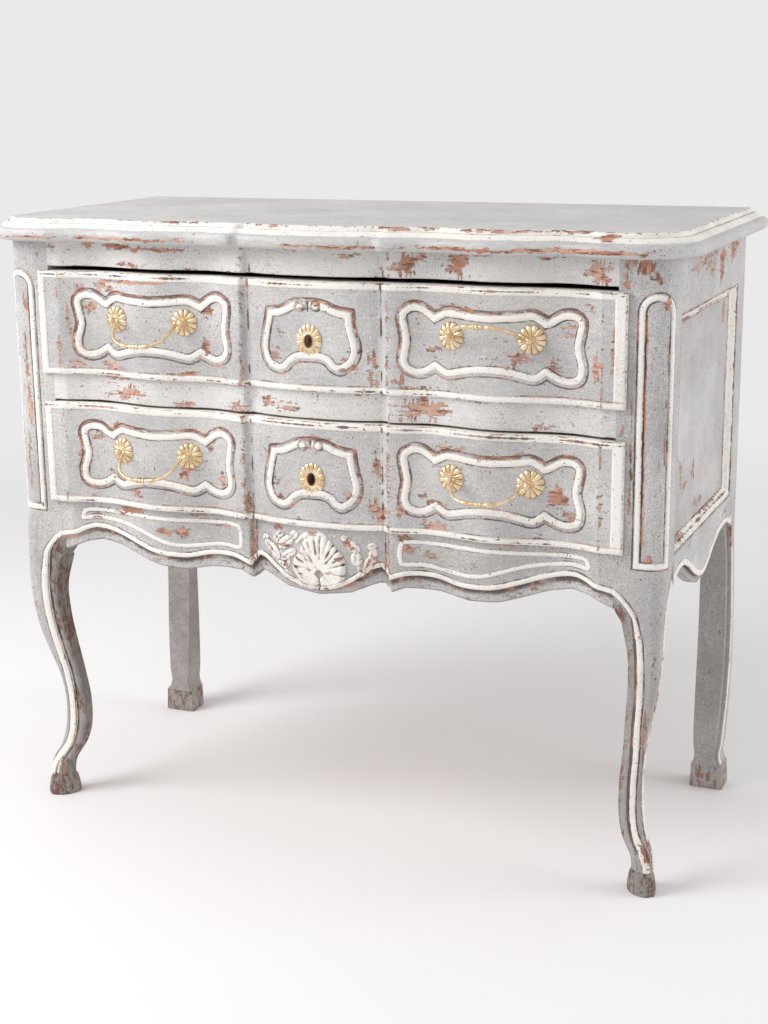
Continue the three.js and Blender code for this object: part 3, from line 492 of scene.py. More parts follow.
top_patches = [
    (-430, 895, 60, 2, 0.9), (-260, 895, 110, 2.4, 0.9), (-330, 897, 60, 2, 0.7), (60, 894, 80, 3, 0.9),
    (260, 895, 120, 2.6, 1.0), (410, 896, 90, 3.2, 1.3), (-200, 919, 60, 2, 0.6), (130, 918, 50, 3, 0.8),
    (240, 917, 40, 3, 0.7), (330, 918, 60, 2, 0.7), (-60, 918, 30, 3, 0.7), (420, 914, 14, 4, 1.0),
]
marks["bare"] = patch_mark(points[:, 0], points[:, 2], top_patches)
marks["bare"][on_top] = 0
skin("top_board", "painted", points, faces, paint("top_paint", "x", -0.02, True), marks)


# ---- The front rails: the top rail and the rail between the drawers, cut from thick wood to the
# curve of the front, glued between the corner posts and mortised from below for the lock bolts.
divider_x = 101.5
ridge_x = 112


def divider_line(x, z, step_seed):
    """The dark joint line beside the ridges that part the middle bay from the sides."""
    return np.abs(np.abs(x) - divider_x) * 0.6 + 3 * broken(z, 9, step_seed) - 0.7


# lift=0.1 makes the rails' grey lighter: painted light against the shade under the top board and the drawers.
rail_paint = paint("rail_paint", "x", grit=0.8, lift=0.1)
rail_half = opening_half - 0.03
rail_step = 2.6
mortise_half, mortise_front, mortise_back, mortise_high = 11.5, 32.8, 39.8, 12.0
mortise_third = (mortise_back - mortise_front) / 3
mortise_ends = [-mortise_half - 0.05, -mortise_half, mortise_half, mortise_half + 0.05]
rail_columns = [
    x for x in front_places(rail_half, rail_step) if min(abs(x - end) for end in mortise_ends) > 0.4
]
rails = {
    "top_front_rail": (850.3, 887.7, [
        (-330, 884, 16, 7, 0.9), (-370, 885, 10, 8, 0.9), (-300, 880, 40, 4, 0.9), (-240, 879, 60, 3, 0.8),
        (-425, 878, 8, 6, 0.6), (-60, 886, 40, 3, 0.6), (140, 870, 22, 14, 0.9), (212, 872, 15, 16, 1.1),
        (215, 886, 30, 4, 0.9), (330, 884, 30, 5, 0.6), (408, 868, 18, 16, 0.9), (-290, 856, 30, 4, 0.6),
        (60, 880, 30, 5, 0.5),
    ]),
    "drawer_divider_rail": (651.7, 697.2, [
        (-310, 668, 28, 10, 0.95), (-330, 690, 24, 5, 0.9), (-205, 657, 18, 6, 0.8), (-75, 672, 26, 8, 0.8),
        (-40, 663, 14, 8, 0.7), (160, 672, 34, 14, 0.95), (60, 690, 30, 4, 0.6), (330, 660, 20, 5, 0.6),
        (240, 690, 30, 4, 0.5), (-120, 660, 14, 10, 0.7),
    ]),
}
for node, (low, high, patches) in rails.items():
    zs = np.array([low, low + 0.4, *spread([low + 1.2, high - 1.2], rail_step), high - 0.4, high])
    inset = np.zeros(len(zs))
    inset[[0, -1]], inset[[1, -2]] = 1.2, 0.4
    rings = []
    for x in sorted(rail_columns + mortise_ends):
        draw, roof = (0, low + mortise_high) if abs(x) <= mortise_half else (mortise_third, low)
        rings.append([(x, y, z) for y, z in zip(front_y(x) + frame_face + inset, zs)] + [
            (x, post_back, high), (x, post_back, low), (x, mortise_back, low), (x, mortise_back - draw, roof),
            (x, mortise_front + draw, roof), (x, mortise_front, low),
        ])
    points, faces = sections(rings)
    X, Z = points[:, 0], points[:, 2]
    marks = nothing(points)
    marks["worn"] = np.minimum(Z - low, high - Z) + 0.4
    marks["line"] = divider_line(X, Z, 5)
    streaks = np.clip(0.8 - np.abs(np.abs(X) - ridge_x) * 0.12, 0, 1) * (0.45 + 0.55 * broken(Z, 13, 6))
    marks["bare"] = np.maximum(patch_mark(X, Z, patches), streaks)
    skin(node, "painted", points, faces, rail_paint, marks)


# ---- The drawer fronts: thick lipped boards sawn to the serpentine and nailed to the drawer sides,
# with a raised cream border and carved cartouches, two long ones under the handles and a shield
# under the keyhole plate.
def smooth_path(corners, closed=True, steps=8):
    """A soft curve through given corners. A corner given three times stays sharp."""
    corners = np.asarray(corners, float)
    count = len(corners)
    drawn = []
    spans = count if closed else count - 1
    for i in range(spans):
        p = [corners[(i + k) % count] if closed else corners[min(max(i + k, 0), count - 1)]
             for k in (-1, 0, 1, 2)]
        for s in range(steps):
            t = s / steps
            drawn.append(0.5 * (
                2 * p[1] + (p[2] - p[0]) * t + (2 * p[0] - 5 * p[1] + 4 * p[2] - p[3]) * t * t
                + (3 * p[1] - p[0] - 3 * p[2] + p[3]) * t ** 3
            ))
    if not closed:
        drawn.append(corners[-1])
    return np.array(drawn)


def away_from(path, first, second, closed=True):
    """Distance of each point from a drawn line, in millimetres."""
    ends = np.roll(path, -1, axis=0) if closed else path[1:]
    starts = path if closed else path[:-1]
    best = np.full(first.shape, 1e9)
    for (ax, az), (bx, bz) in zip(starts, ends):
        dx, dz = bx - ax, bz - az
        length = dx * dx + dz * dz
        if length < 1e-9:
            continue
        t = np.clip(((first - ax) * dx + (second - az) * dz) / length, 0, 1)
        best = np.minimum(best, (first - ax - t * dx) ** 2 + (second - az - t * dz) ** 2)
    return np.sqrt(best)


def inside_of(path, first, second):
    """Whether each point lies inside a closed line."""
    crossed = np.zeros(first.shape, bool)
    for (ax, az), (bx, bz) in zip(path, np.roll(path, -1, axis=0)):
        if az == bz:
            continue
        between = (az > second) != (bz > second)
        crossed ^= between & (first < (bx - ax) * (second - az) / (bz - az) + ax)
    return crossed


def round_ridge(away, half, height):
    return height * np.sqrt(np.clip(1 - (away / half) ** 2, 0, 1))


def cut_groove(away, half, depth):
    return -depth * np.clip(1 - away / half, 0, 1)


def mitred(away, first, second, corner, *leans):
    """Carries the lines beside a drawn line on to a point, where it turns outwards at a corner."""
    across, up = first - corner[0], second - corner[1]
    at_corner = np.hypot(across, up) - away < 1.2
    sides = [np.abs(across * math.sin(a) - up * math.cos(a)) for a in map(math.radians, leans)]
    return np.where(at_corner, np.maximum(*sides), away)


side_cartouche = smooth_path([
    (140, 801), (144, 805.5), (150.5, 808), (159, 806), (168, 800), (178, 792.5), (178, 792.5),
    (188, 797.5), (200.5, 802), (230.5, 799.5), (258, 798), (288, 799.5), (305.5, 801), (318, 802),
    (333.5, 791.8), (333.5, 791.8), (343, 794.3), (358, 803), (368, 804.5), (375.5, 803), (378.8, 798.8),
    (376.8, 787.5), (373.5, 770), (375.5, 757.5), (379.3, 745), (379.3, 735), (375.5, 729.3),
    (365.5, 727.5), (353, 730.5), (338, 738.8), (333, 739), (323, 731.3), (315.5, 730.5), (298, 735),
    (278, 738.8), (253, 739.5), (228, 737), (203, 731.3), (195.5, 732), (184, 738.8), (180.5, 740.5),
    (176.8, 739.5), (165.5, 732.5), (155.5, 730), (146.8, 732.5), (141.8, 737.5), (141, 745),
    (143.8, 760), (144.3, 772.5), (141.8, 787.5),
], steps=5)
centre_cartouche = smooth_path([
    (-56.3, 793.7), (-56.3, 793.7), (-45, 795.3), (-33.3, 799.7), (-26.7, 803), (-17, 806.5),
    (-2, 807), (14, 806.5), (26, 803), (33, 799.7), (44, 796.5), (53, 795), (53, 795), (54.2, 783.3),
    (56.7, 771.7), (60, 760), (60.8, 751.7), (59.2, 743.3), (54.2, 735.8), (45, 730.3), (45, 730.3),
    (39.2, 732.5), (33.3, 739.2), (25, 744.2), (16.7, 746.3), (8.3, 747), (-11.7, 746.7), (-20, 745.3),
    (-28.3, 741.7), (-35, 736.7), (-41.7, 730), (-46.7, 728), (-51.7, 729.2), (-59.2, 733.3),
    (-63.3, 741.7), (-65, 751.7), (-63.3, 763.3), (-60, 778.3), (-57, 790),
], steps=5)
key_z = 762.2
volutes = ((-13.0, 809.5), (11.0, 810.5))
volute_size = 6.5
volute_gap = (-1.5, 803.0, 815.0)
drawer_rise = {"upper_drawer": 0.0, "lower_drawer": -195.4}
front_half = 446.0
front_bottom, front_top = 691.2, 843.7
border_top, border_bottom, border_right, border_left = 9.7, 8.4, 16.0, 12.0
flank = 14.0
front_step = 1.7
front_patches = {
    "upper_drawer": [
        (-345, 826, 12, 8, 0.9), (-325, 817, 10, 8, 0.8), (-378, 821, 8, 6, 0.7), (-300, 832, 60, 2.5, 0.9),
        (-365, 791, 14, 8, 0.7), (-170, 792, 10, 8, 0.8), (-398, 770, 4, 24, 0.8), (-322, 742, 14, 8, 0.6),
        (-300, 745, 10, 8, 0.7), (-325, 705, 18, 8, 0.8), (-388, 708, 10, 5, 0.8), (-205, 700, 16, 6, 0.8),
        (-173, 745, 6, 14, 0.8), (-130, 760, 4, 30, 0.7), (-60, 740, 14, 10, 0.7), (-45, 770, 8, 8, 0.5),
        (55, 730, 16, 14, 0.6), (90, 720, 8, 26, 0.8), (130, 705, 10, 14, 0.7), (64, 752, 12, 6, 0.7),
        (180, 757, 16, 4, 0.8), (172, 745, 10, 4, 0.7), (300, 750, 16, 8, 0.8), (345, 740, 12, 10, 0.8),
        (285, 735, 10, 6, 0.7), (365, 790, 12, 10, 0.6), (430, 780, 5, 30, 0.8), (405, 745, 5, 22, 0.8),
        (215, 815, 30, 5, 0.6), (160, 700, 24, 4, 0.6), (0, 815, 30, 4, 0.6), (395, 820, 12, 6, 0.5),
        (320, 700, 30, 4, 0.5), (-415, 735, 4, 16, 0.7), (-14, 809, 5, 4, 1.2), (12, 810, 5, 4, 1.2),
    ],
    "lower_drawer": [
        (-320, 620, 12, 8, 0.8), (-365, 600, 12, 8, 0.7), (-330, 540, 12, 10, 0.8), (-295, 520, 14, 6, 0.7),
        (-210, 560, 10, 12, 0.8), (-170, 600, 8, 10, 0.6), (-150, 545, 6, 16, 0.8), (-110, 520, 6, 16, 0.8),
        (-60, 560, 12, 8, 0.7), (-52, 535, 6, 6, 0.6), (58, 545, 10, 10, 0.8), (92, 525, 14, 12, 0.9),
        (60, 575, 12, 4, 0.6), (95, 590, 6, 18, 0.8), (128, 540, 5, 20, 0.7), (170, 548, 12, 8, 0.7),
        (185, 540, 10, 5, 0.8), (175, 510, 26, 6, 0.8), (215, 590, 14, 6, 0.5), (355, 560, 14, 16, 0.9),
        (370, 540, 10, 12, 0.8), (300, 620, 30, 4, 0.5), (415, 560, 4, 26, 0.6), (0, 625, 26, 4, 0.5),
        (300, 505, 30, 4, 0.6), (-390, 560, 5, 26, 0.8), (205, 622, 26, 4, 0.7),
    ],
}
front_paint = paint("drawer_front_paint", "x", grit=0.7)


def front_carving(x, z, seed):
    """Relief of a drawer front and its marks, at places across and up the upper drawer."""
    relief = np.zeros(x.shape)
    cream_mark = np.full(x.shape, -99.0)
    ragged = 3.2 * broken(x + z, 5, seed) + 2.2 * broken(x - z, 17, seed + 1)
    edge = np.minimum.reduce([front_top - z, z - front_bottom, front_half - np.abs(x)])
    lines, worn, streaks = [], [edge * 0.8 + 0.4], []
    for path, across in ((side_cartouche, np.abs(x)), (centre_cartouche, x)):
        away = away_from(path, across, z)
        if path is centre_cartouche:
            away = mitred(away, x, z, path[0], 8, 80)
            away = mitred(away, x, z, path[60], -8, -84)
        out = np.where(inside_of(path, across, z), -away, away)
        relief += round_ridge(np.abs(out - 4.6), 5.2, 2.6)
        relief += np.clip((flank - out) / 2.0, 0, 1) * np.clip((out - 8) / 2.0, 0, 1) * 0.8
        relief += cut_groove(np.abs(out - flank - 0.4), 1.6, 1.6) + cut_groove(np.abs(out + 0.8), 1.4, 0.9)
        cream_mark = np.maximum(cream_mark, 4.3 - np.abs(out - 4.7))
        lines += [
            np.abs(out - flank - 0.3) + ragged * 0.06 - 0.35, np.abs(out + 0.5) + ragged * 0.16 - 0.3,
            np.abs(out - 10.0) + ragged * 0.3 + np.clip(770 - z, 0, 40) * 0.03,
        ]
        worn.append(np.abs(out - 12.0) * 1.2 + 0.2 + np.clip(752 - z, 0, 10) * 0.12)
        middle_x = np.where(x > 0, 260, -260) if path is side_cartouche else 0
        lit_side = (z > 780) | (x - middle_x < -105)
        streaks.append(np.clip(1.4 - np.abs(out - 12.2) * 0.6, 0, 1) * np.where(lit_side, 0.85, 0.3))
    for vx, vz in volutes:
        far = np.hypot(x - vx, z - vz)
        relief = np.maximum(relief, round_ridge(far, volute_size, 3.4))
        relief += cut_groove(np.abs(far - volute_size - 0.8), 1.6, 0.8)
        cream_mark = np.where(far < volute_size + 1, volute_size - 2.2 - far, cream_mark)
        lines.append(np.abs(far - volute_size - 0.7) + 0.2)
    gap_x, gap_low, gap_high = volute_gap
    past_gap = np.maximum(gap_low - z, z - gap_high).clip(0)
    gap = np.hypot(x - gap_x, past_gap) - (z - gap_low).clip(0, 12) * 0.08
    relief = np.where(gap < 2.4, np.minimum(relief, 0.4 * gap - 0.6), relief)
    border = np.maximum.reduce([
        border_top - (front_top - z), border_bottom - (z - front_bottom),
        np.where(x > 0, border_right, border_left) - (front_half - np.abs(x)),
    ])
    hole = np.hypot(x / keyhole_across, (z - key_z) / keyhole_up)
    relief -= np.clip((1.0 - hole) * 4, 0, 1) * keyhole_deep
    relief += np.clip(border / 1.6, 0, 1) * 1.4
    relief -= np.clip(3.0 - edge, 0, 3) ** 2 / 9 * 2.8
    top_chips = 3.6 * broken(x, 24, seed + 3) ** 1.5 + 1.6 * broken(x, 3, seed + 8) - 1.7
    low_chips = 3.6 * broken(x, 17, seed + 5) + 1.4 * broken(x, 3, seed + 9) - 1.1
    # The second of these lines paints the keyhole's hole dark: painted shade in the hole.
    lines += [
        np.maximum(gap, 0), (hole - 0.95) * 5, np.abs(border + 0.5) + 0.4 + ragged * 0.3,
        divider_line(x, z, seed + 2), np.abs(z - (front_top - 4.4)) + top_chips,
        np.abs(x - (front_half - border_left)) + 4.0 * broken(z, 3.5, seed + 4),
        np.abs(z - (front_bottom + 3.4)) + low_chips,
    ]
    streaks += [
        np.clip(0.9 - np.abs(np.abs(x) - rubbed_x) * 0.3, 0, 1) * (broken(z, 14, seed + 6) > 0.4),
        np.clip(0.9 - np.abs(z - front_bottom - rubbed_up) * 0.5, 0, 1) * (broken(x, 24, seed + 7) > 0.35),
        np.clip(0.85 - np.abs(np.abs(x) - ridge_x) * 0.12, 0, 1) * (0.3 + 0.7 * broken(z, 17, seed + 11)),
    ]
    cream_mark = np.maximum(cream_mark, border)
    return relief, cream_mark, *(grids.reduce(parts) for grids, parts in (
        (np.minimum, lines), (np.minimum, worn), (np.maximum, streaks)))


rubbed_x, rubbed_up = 414, 10.2
keyhole_across, keyhole_up, keyhole_deep = 5.0, 8.6, 14.0
lip_back = frame_face - 0.3
body_half = opening_half - 1.5
body_back = 30.0
body_bottom = front_bottom + 6.3
rim = [0.0, 0.35, 1.0, 1.9]
border_rows = [
    front_bottom + 3.0, front_bottom + border_bottom - 1.6, front_bottom + border_bottom,
    front_top - border_top, front_top - border_top + 1.6, front_top - 3.0,
]
front_rows = np.array([
    *(front_bottom + r for r in rim), *spread(border_rows, front_step),
    *(front_top - r for r in reversed(rim)),
])
lip_columns = [body_half, front_half - 3.0, *(front_half - r for r in reversed(rim))]
front_columns = both_ways(
    spread([*station_marks, 430.0, body_half], front_step) + spread(lip_columns, front_step)[1:]
)
X, Z = np.meshgrid(front_columns, front_rows, indexing="ij")
for drawer, seed in (("upper_drawer", 10), ("lower_drawer", 40)):
    rise = drawer_rise[drawer]
    relief, cream_mark, line_mark, worn_mark, streaks = front_carving(X, Z, seed)
    Y = front_y(X) - relief
    patches = patch_mark(X, Z + rise, front_patches[drawer]) * np.where(cream_mark > 0, 0.4, 1.0)
    rings, kept = [], []
    for i, x in enumerate(front_columns):
        lip = front_y(x) + lip_back
        depths = [body_back if abs(x) < body_half else lip]
        if abs(abs(x) - body_half) < 0.01:
            depths = [lip, body_back] if x < 0 else [body_back, lip]
        for behind in depths:
            under = body_bottom if behind == body_back else front_bottom
            back = [(x, behind, front_top), (x, behind, under), (x, lip, under), (x, lip, front_bottom)]
            rings.append([(x, y, z) for y, z in zip(Y[i], front_rows)] + back)
            kept.append(i)
    grids = (cream_mark, line_mark, worn_mark, np.maximum(patches, streaks), X * 0)
    marks = all_marks([grid[kept] for grid in grids], ([-9] * 4, [99] * 4, [99] * 4, [0] * 4, [0] * 4))
    points, faces = sections(rings)
    points[:, 2] += rise
    skin(drawer + "_front", "carved", points, faces, front_paint, marks, drawer)


# ---- The front corner posts: one stick of wood each from the top board to the hoof, with a rounded
# corner, a long sunk panel, and a cream bead along both edges of the cabriole leg. Rails, sides
# and apron are glued to them.
knee_z = 400.0
knee_forward = 8.0
ankle_draw = 34.0
post_face = 71.0
corner_round = 30.0
strip_width = 11.0
strip_back = 6.0
inner_flat = 12.0
leg_rows = np.array([
    (0.14, 0.5, 0, 0.28, 0, 0.17, 0.6, 1.2),
    (0.25, 0.89, 0, 0.28, 0, 0.17, 0.5, 1.2),
    (0.375, 1, 0, 0.26, 0, 0.17, 0.5, 1.2),
    (0.5, 0.85, 0, 0.28, 0.25, 0.17, 0.5, 1.1),
    (0.625, 0.52, 0.5, 0.375, 0.5, 0.27, 0.3, 1),
    (0.75, 0.2, 0.7, 0.455, 0.7, 0.45, 0.25, 1),
    (0.875, 0.04, 0.9, 0.52, 0.7, 0.67, 0.25, 1),
    (1, 0, 1, 0.6, 0.8, 0.83, 0.25, 1.45),
])
knee_top = 439.6
side_knee_top = 447.0
leg_top = 478.0
post_top = 887.7
turn_rows = np.array([
    (0, 1, 1, 1.45), (0.35, 0.89, 0.9, 2), (0.68, 0.52, 0.82, 1.4), (0.9, 0.2, 0.72, 1), (1, 0, 0.65, 1),
])


def soft_rows(table, at):
    """Rows of a table read at any height, with a soft curve between them."""
    heights = table[:, 0]
    slopes = np.gradient(table[:, 1:], heights, axis=0)
    i = int(np.clip(np.searchsorted(heights, at) - 1, 0, len(heights) - 2))
    span = heights[i + 1] - heights[i]
    t = float(np.clip((at - heights[i]) / span, 0, 1))
    a, b = table[i, 1:], table[i + 1, 1:]
    return (
        a * (2 * t ** 3 - 3 * t ** 2 + 1) + slopes[i] * span * (t ** 3 - 2 * t ** 2 + t)
        + b * (3 * t ** 2 - 2 * t ** 3) + slopes[i + 1] * span * (t ** 3 - t ** 2)
    )


def post_plan(z):
    """Arris, corner, side arris, rounding, inner flat, and the inner corner, at a height."""
    if z < knee_z:
        draw, forward, width, lean, rounding, flat, strip = soft_rows(leg_rows, z / knee_z)
        draw *= ankle_draw
        corner = np.array([case_half - draw, frame_face + draw - knee_forward * forward])
        arris = np.array([corner[0] - post_face * width, corner[1] + knee_forward * lean])
        side = np.array([corner[0] - knee_forward * lean, corner[1] + post_face * width])
        inner = np.array([max(opening_half, arris[0] - strip_width * strip), side[1] + strip_width * strip])
        return arris, corner, side, corner_round * rounding, inner_flat * flat, inner
    width, lean, rounding, flat = leg_rows[-1, [3, 4, 5, 6]]
    knee_width = post_face * width
    side_share = min(1.0, (z - knee_z) / (side_knee_top - knee_z))
    side_y = glide(frame_face - knee_forward + knee_width, post_back, side_share)
    strip = 1.0
    if z <= knee_top:
        arris_share, forward, strip = soft_rows(turn_rows, (z - knee_z) / (knee_top - knee_z))
    else:
        forward = 0.65 * max(0.0, (leg_top - z) / (leg_top - knee_top))
        arris_share = 0.0
    corner = np.array([case_half, frame_face - knee_forward * forward])
    arris = np.array([
        opening_half + (case_half - knee_width - opening_half) * arris_share,
        corner[1] + knee_forward * lean * forward,
    ])
    ease_in = min(1.0, max(0.0, (z - knee_top) / (leg_top - knee_top)))
    rounding = corner_round * (rounding + (1 - rounding) * ease_in)
    side = np.array([case_half - knee_forward * lean * forward, side_y])
    inner_side = max(opening_half, arris[0] - strip_width * strip)
    inner = np.array([inner_side, min(post_back, side_y + strip_width)])
    return arris, corner, side, rounding, inner_flat * flat, inner


face_steps, corner_steps, side_steps = 30, 22, 12
face_count = face_steps + corner_steps + side_steps + 1
ring_count = face_count + 13
hoof_height = 29.0
hoof_top = hoof_height * 1.2
hoof_centre = np.array([476.0, 38.0])
hoof_length, hoof_width = 26.0, 18.5
ankle_z = 84.0
hoof_points = [0, face_steps + corner_steps // 2, face_count - 1, face_count + 4, ring_count]
hoof_angles = np.radians(np.interp(np.arange(ring_count), hoof_points, [288, 318, 385, 495, 648]))


def hoof_ring(z, size):
    """The hoof's outline, an oval that points outwards from the corner."""
    local = hoof_angles + math.pi / 4
    reach = size / np.hypot(np.cos(local) / hoof_length, np.sin(local) / hoof_width)
    places = hoof_centre + np.stack([np.cos(hoof_angles), np.sin(hoof_angles)], axis=1) * reach[:, None]
    return np.column_stack([places, np.full(ring_count, z)])


def post_ring(z):
    arris, corner, side, rounding, flat, inner = post_plan(z)
    to_arris = arris - corner
    to_side = side - corner
    start = corner + to_arris * rounding / np.linalg.norm(to_arris)
    end = corner + to_side * rounding / np.linalg.norm(to_side)
    ring = [arris + (start - arris) * i / face_steps for i in range(face_steps)]
    for i in range(corner_steps):
        t = i / corner_steps
        ring.append(start * (1 - t) ** 2 + corner * 2 * t * (1 - t) + end * t ** 2)
    ring += [end + (side - end) * i / side_steps for i in range(side_steps + 1)]
    front_strip = arris[1] + strip_back
    turned = inner[1] - flat
    ring += [
        (side[0] - strip_back * 0.6, side[1]), (side[0] - strip_back, side[1]),
        (side[0] - strip_back - 1, inner[1]), (inner[0] + flat, inner[1]),
        (inner[0] + flat * 0.3, inner[1] - flat * 0.3), (inner[0], turned),
        (inner[0], turned * 0.6 + front_strip * 0.4), (inner[0], turned * 0.25 + front_strip * 0.75 + 0.7),
        (inner[0], front_strip + 1), (inner[0] * 0.7 + arris[0] * 0.3, front_strip + 0.7),
        (inner[0] * 0.35 + arris[0] * 0.65, front_strip + 0.3), (arris[0], front_strip),
        (arris[0], front_strip - 2.4),
    ]
    ring = np.array([(*p, z) for p in ring])
    if z < ankle_z:
        share = glide(0, 1, (z - hoof_top) / (ankle_z - hoof_top))
        ring = hoof_ring(z, 0.72) * (1 - share) + ring * share
    return ring


panel_left, panel_right = 26.0, 80.0
panel_low, panel_high = 476.0, 844.0
panel_foot, panel_arch = panel_low + 22, 810.0
heights = spread([hoof_top, ankle_z, knee_z, knee_top, side_knee_top, panel_low, panel_foot], 3.0)
heights += spread([panel_foot, panel_arch], 4.0)[1:] + spread([panel_arch, panel_high + 4], 2.0)[1:]
heights += spread([panel_high + 4, post_top], 2.6)[1:]


def panel_inside(u, z):
    """How far inside the long panel's outer line a place is: a box with a round top."""
    half = (panel_right - panel_left) / 2
    across = np.abs(u - (panel_right + panel_left) / 2)
    round_top = half - np.hypot(across, z - (panel_high - half))
    box = np.minimum(half - across, z - panel_low)
    return np.where(z > panel_high - half, round_top, box)


post_rings = np.array([post_ring(z) for z in heights])
steps_along = np.linalg.norm(np.diff(post_rings[:, :, :2], axis=1), axis=2)
u_along = np.concatenate([np.zeros((len(heights), 1)), np.cumsum(steps_along, axis=1)], axis=1)
Z = post_rings[:, :, 2]
index = np.arange(ring_count)
faces_out = index < face_count
turned_in = face_steps + corner_steps // 2
bead_rows = Z[:, 0] <= side_knee_top
front_line = post_rings[Z[:, 0] <= knee_top][:, 0][:, [0, 2]]
side_line = post_rings[bead_rows][:, face_count - 1][:, [1, 2]]
front_away = away_from(front_line, post_rings[:, :, 0], Z, closed=False)
side_away = away_from(side_line, post_rings[:, :, 1], Z, closed=False)
front_part = (index < turned_in) & faces_out
side_part = (index >= turned_in) & faces_out
leg_bead_top, panel_line_low = 418, 460
leg_part = np.clip((leg_bead_top - Z) / 40, 0, 1)
to_panel = np.where(faces_out & (Z > panel_line_low), panel_inside(u_along, Z), -99.0)
panel_carving = round_ridge(np.abs(to_panel - 5.8), 4.2, 1.9) + cut_groove(np.abs(to_panel), 1.6, 1.0)
panel_carving += cut_groove(np.abs(to_panel - 10.9), 1.5, 1.0)
following = np.roll(post_rings, -1, axis=1) - post_rings
following[:, -1] = following[:, -2]
outward = np.stack([following[:, :, 1], -following[:, :, 0]], axis=-1)
outward /= np.maximum(np.linalg.norm(outward, axis=-1, keepdims=True), 1e-6)
fade = (u_along > 0.01) & faces_out
hoof_sizes = [
    (0.0, 0.95), (0.06, 0.98), (0.25, 0.98), (0.6, 0.92), (0.85, 0.86), (0.97, 0.82), (1.05, 0.74),
    (1.14, 0.72),
]
hoof_rings = np.array([hoof_ring(hoof_height * rise, size) for rise, size in hoof_sizes])
hoof_folds = 0.5 * np.sin(hoof_angles * 9) * np.clip(np.cos(hoof_angles + math.pi / 4), 0, 1)
hoof_rings[:, :, :2] += (hoof_rings[:, :, :2] - hoof_centre) * hoof_folds[None, :, None] * 0.05
strip_corner = ring_count - 2
inner_leg = ~faces_out & (Z <= knee_top)


def with_hoof(grid, value):
    return np.concatenate([np.full((len(hoof_sizes), ring_count), value), grid])


post_patches = {
    1: [(14, 880, 8, 10, 0.9), (35, 877, 11, 9, 1.2), (52, 864, 8, 8, 1.0), (10, 858, 5, 12, 0.9),
        (64, 832, 3.5, 12, 0.95), (67.5, 770, 2.2, 40, 0.8), (67, 700, 1.8, 20, 0.7), (66, 640, 2, 40, 0.7),
        (50, 492, 7, 6, 0.9), (37.6, 790, 1.7, 30, 1.6), (37.6, 700, 1.9, 80, 1.8), (37.8, 600, 1.6, 90, 1.6),
        (37.6, 530, 1.4, 40, 1.2), (21, 620, 2, 60, 0.9), (20, 560, 2, 20, 0.8), (41, 510, 4, 6, 0.8),
        (58, 640, 2, 30, 0.5), (8, 660, 3, 12, 0.6), (30, 345, 5, 22, 0.5), (46, 300, 4, 30, 0.6),
        (19, 236, 4, 26, 1.1), (20, 190, 3, 20, 0.9), (20, 150, 2.5, 60, 0.6), (12, 60, 5, 16, 0.8)],
    -1: [(48, 720, 4, 40, 0.8), (46, 640, 4, 30, 0.8), (52, 560, 5, 40, 0.6), (43, 800, 4, 20, 0.6),
         (37.5, 760, 1.3, 60, 0.8), (37.5, 620, 1.3, 60, 0.8), (8, 490, 9, 9, 0.6), (23, 870, 6, 14, 0.5),
         (34, 486, 4, 4, 1.0), (24, 330, 4, 30, 0.4), (14, 60, 5, 14, 0.7)],
}
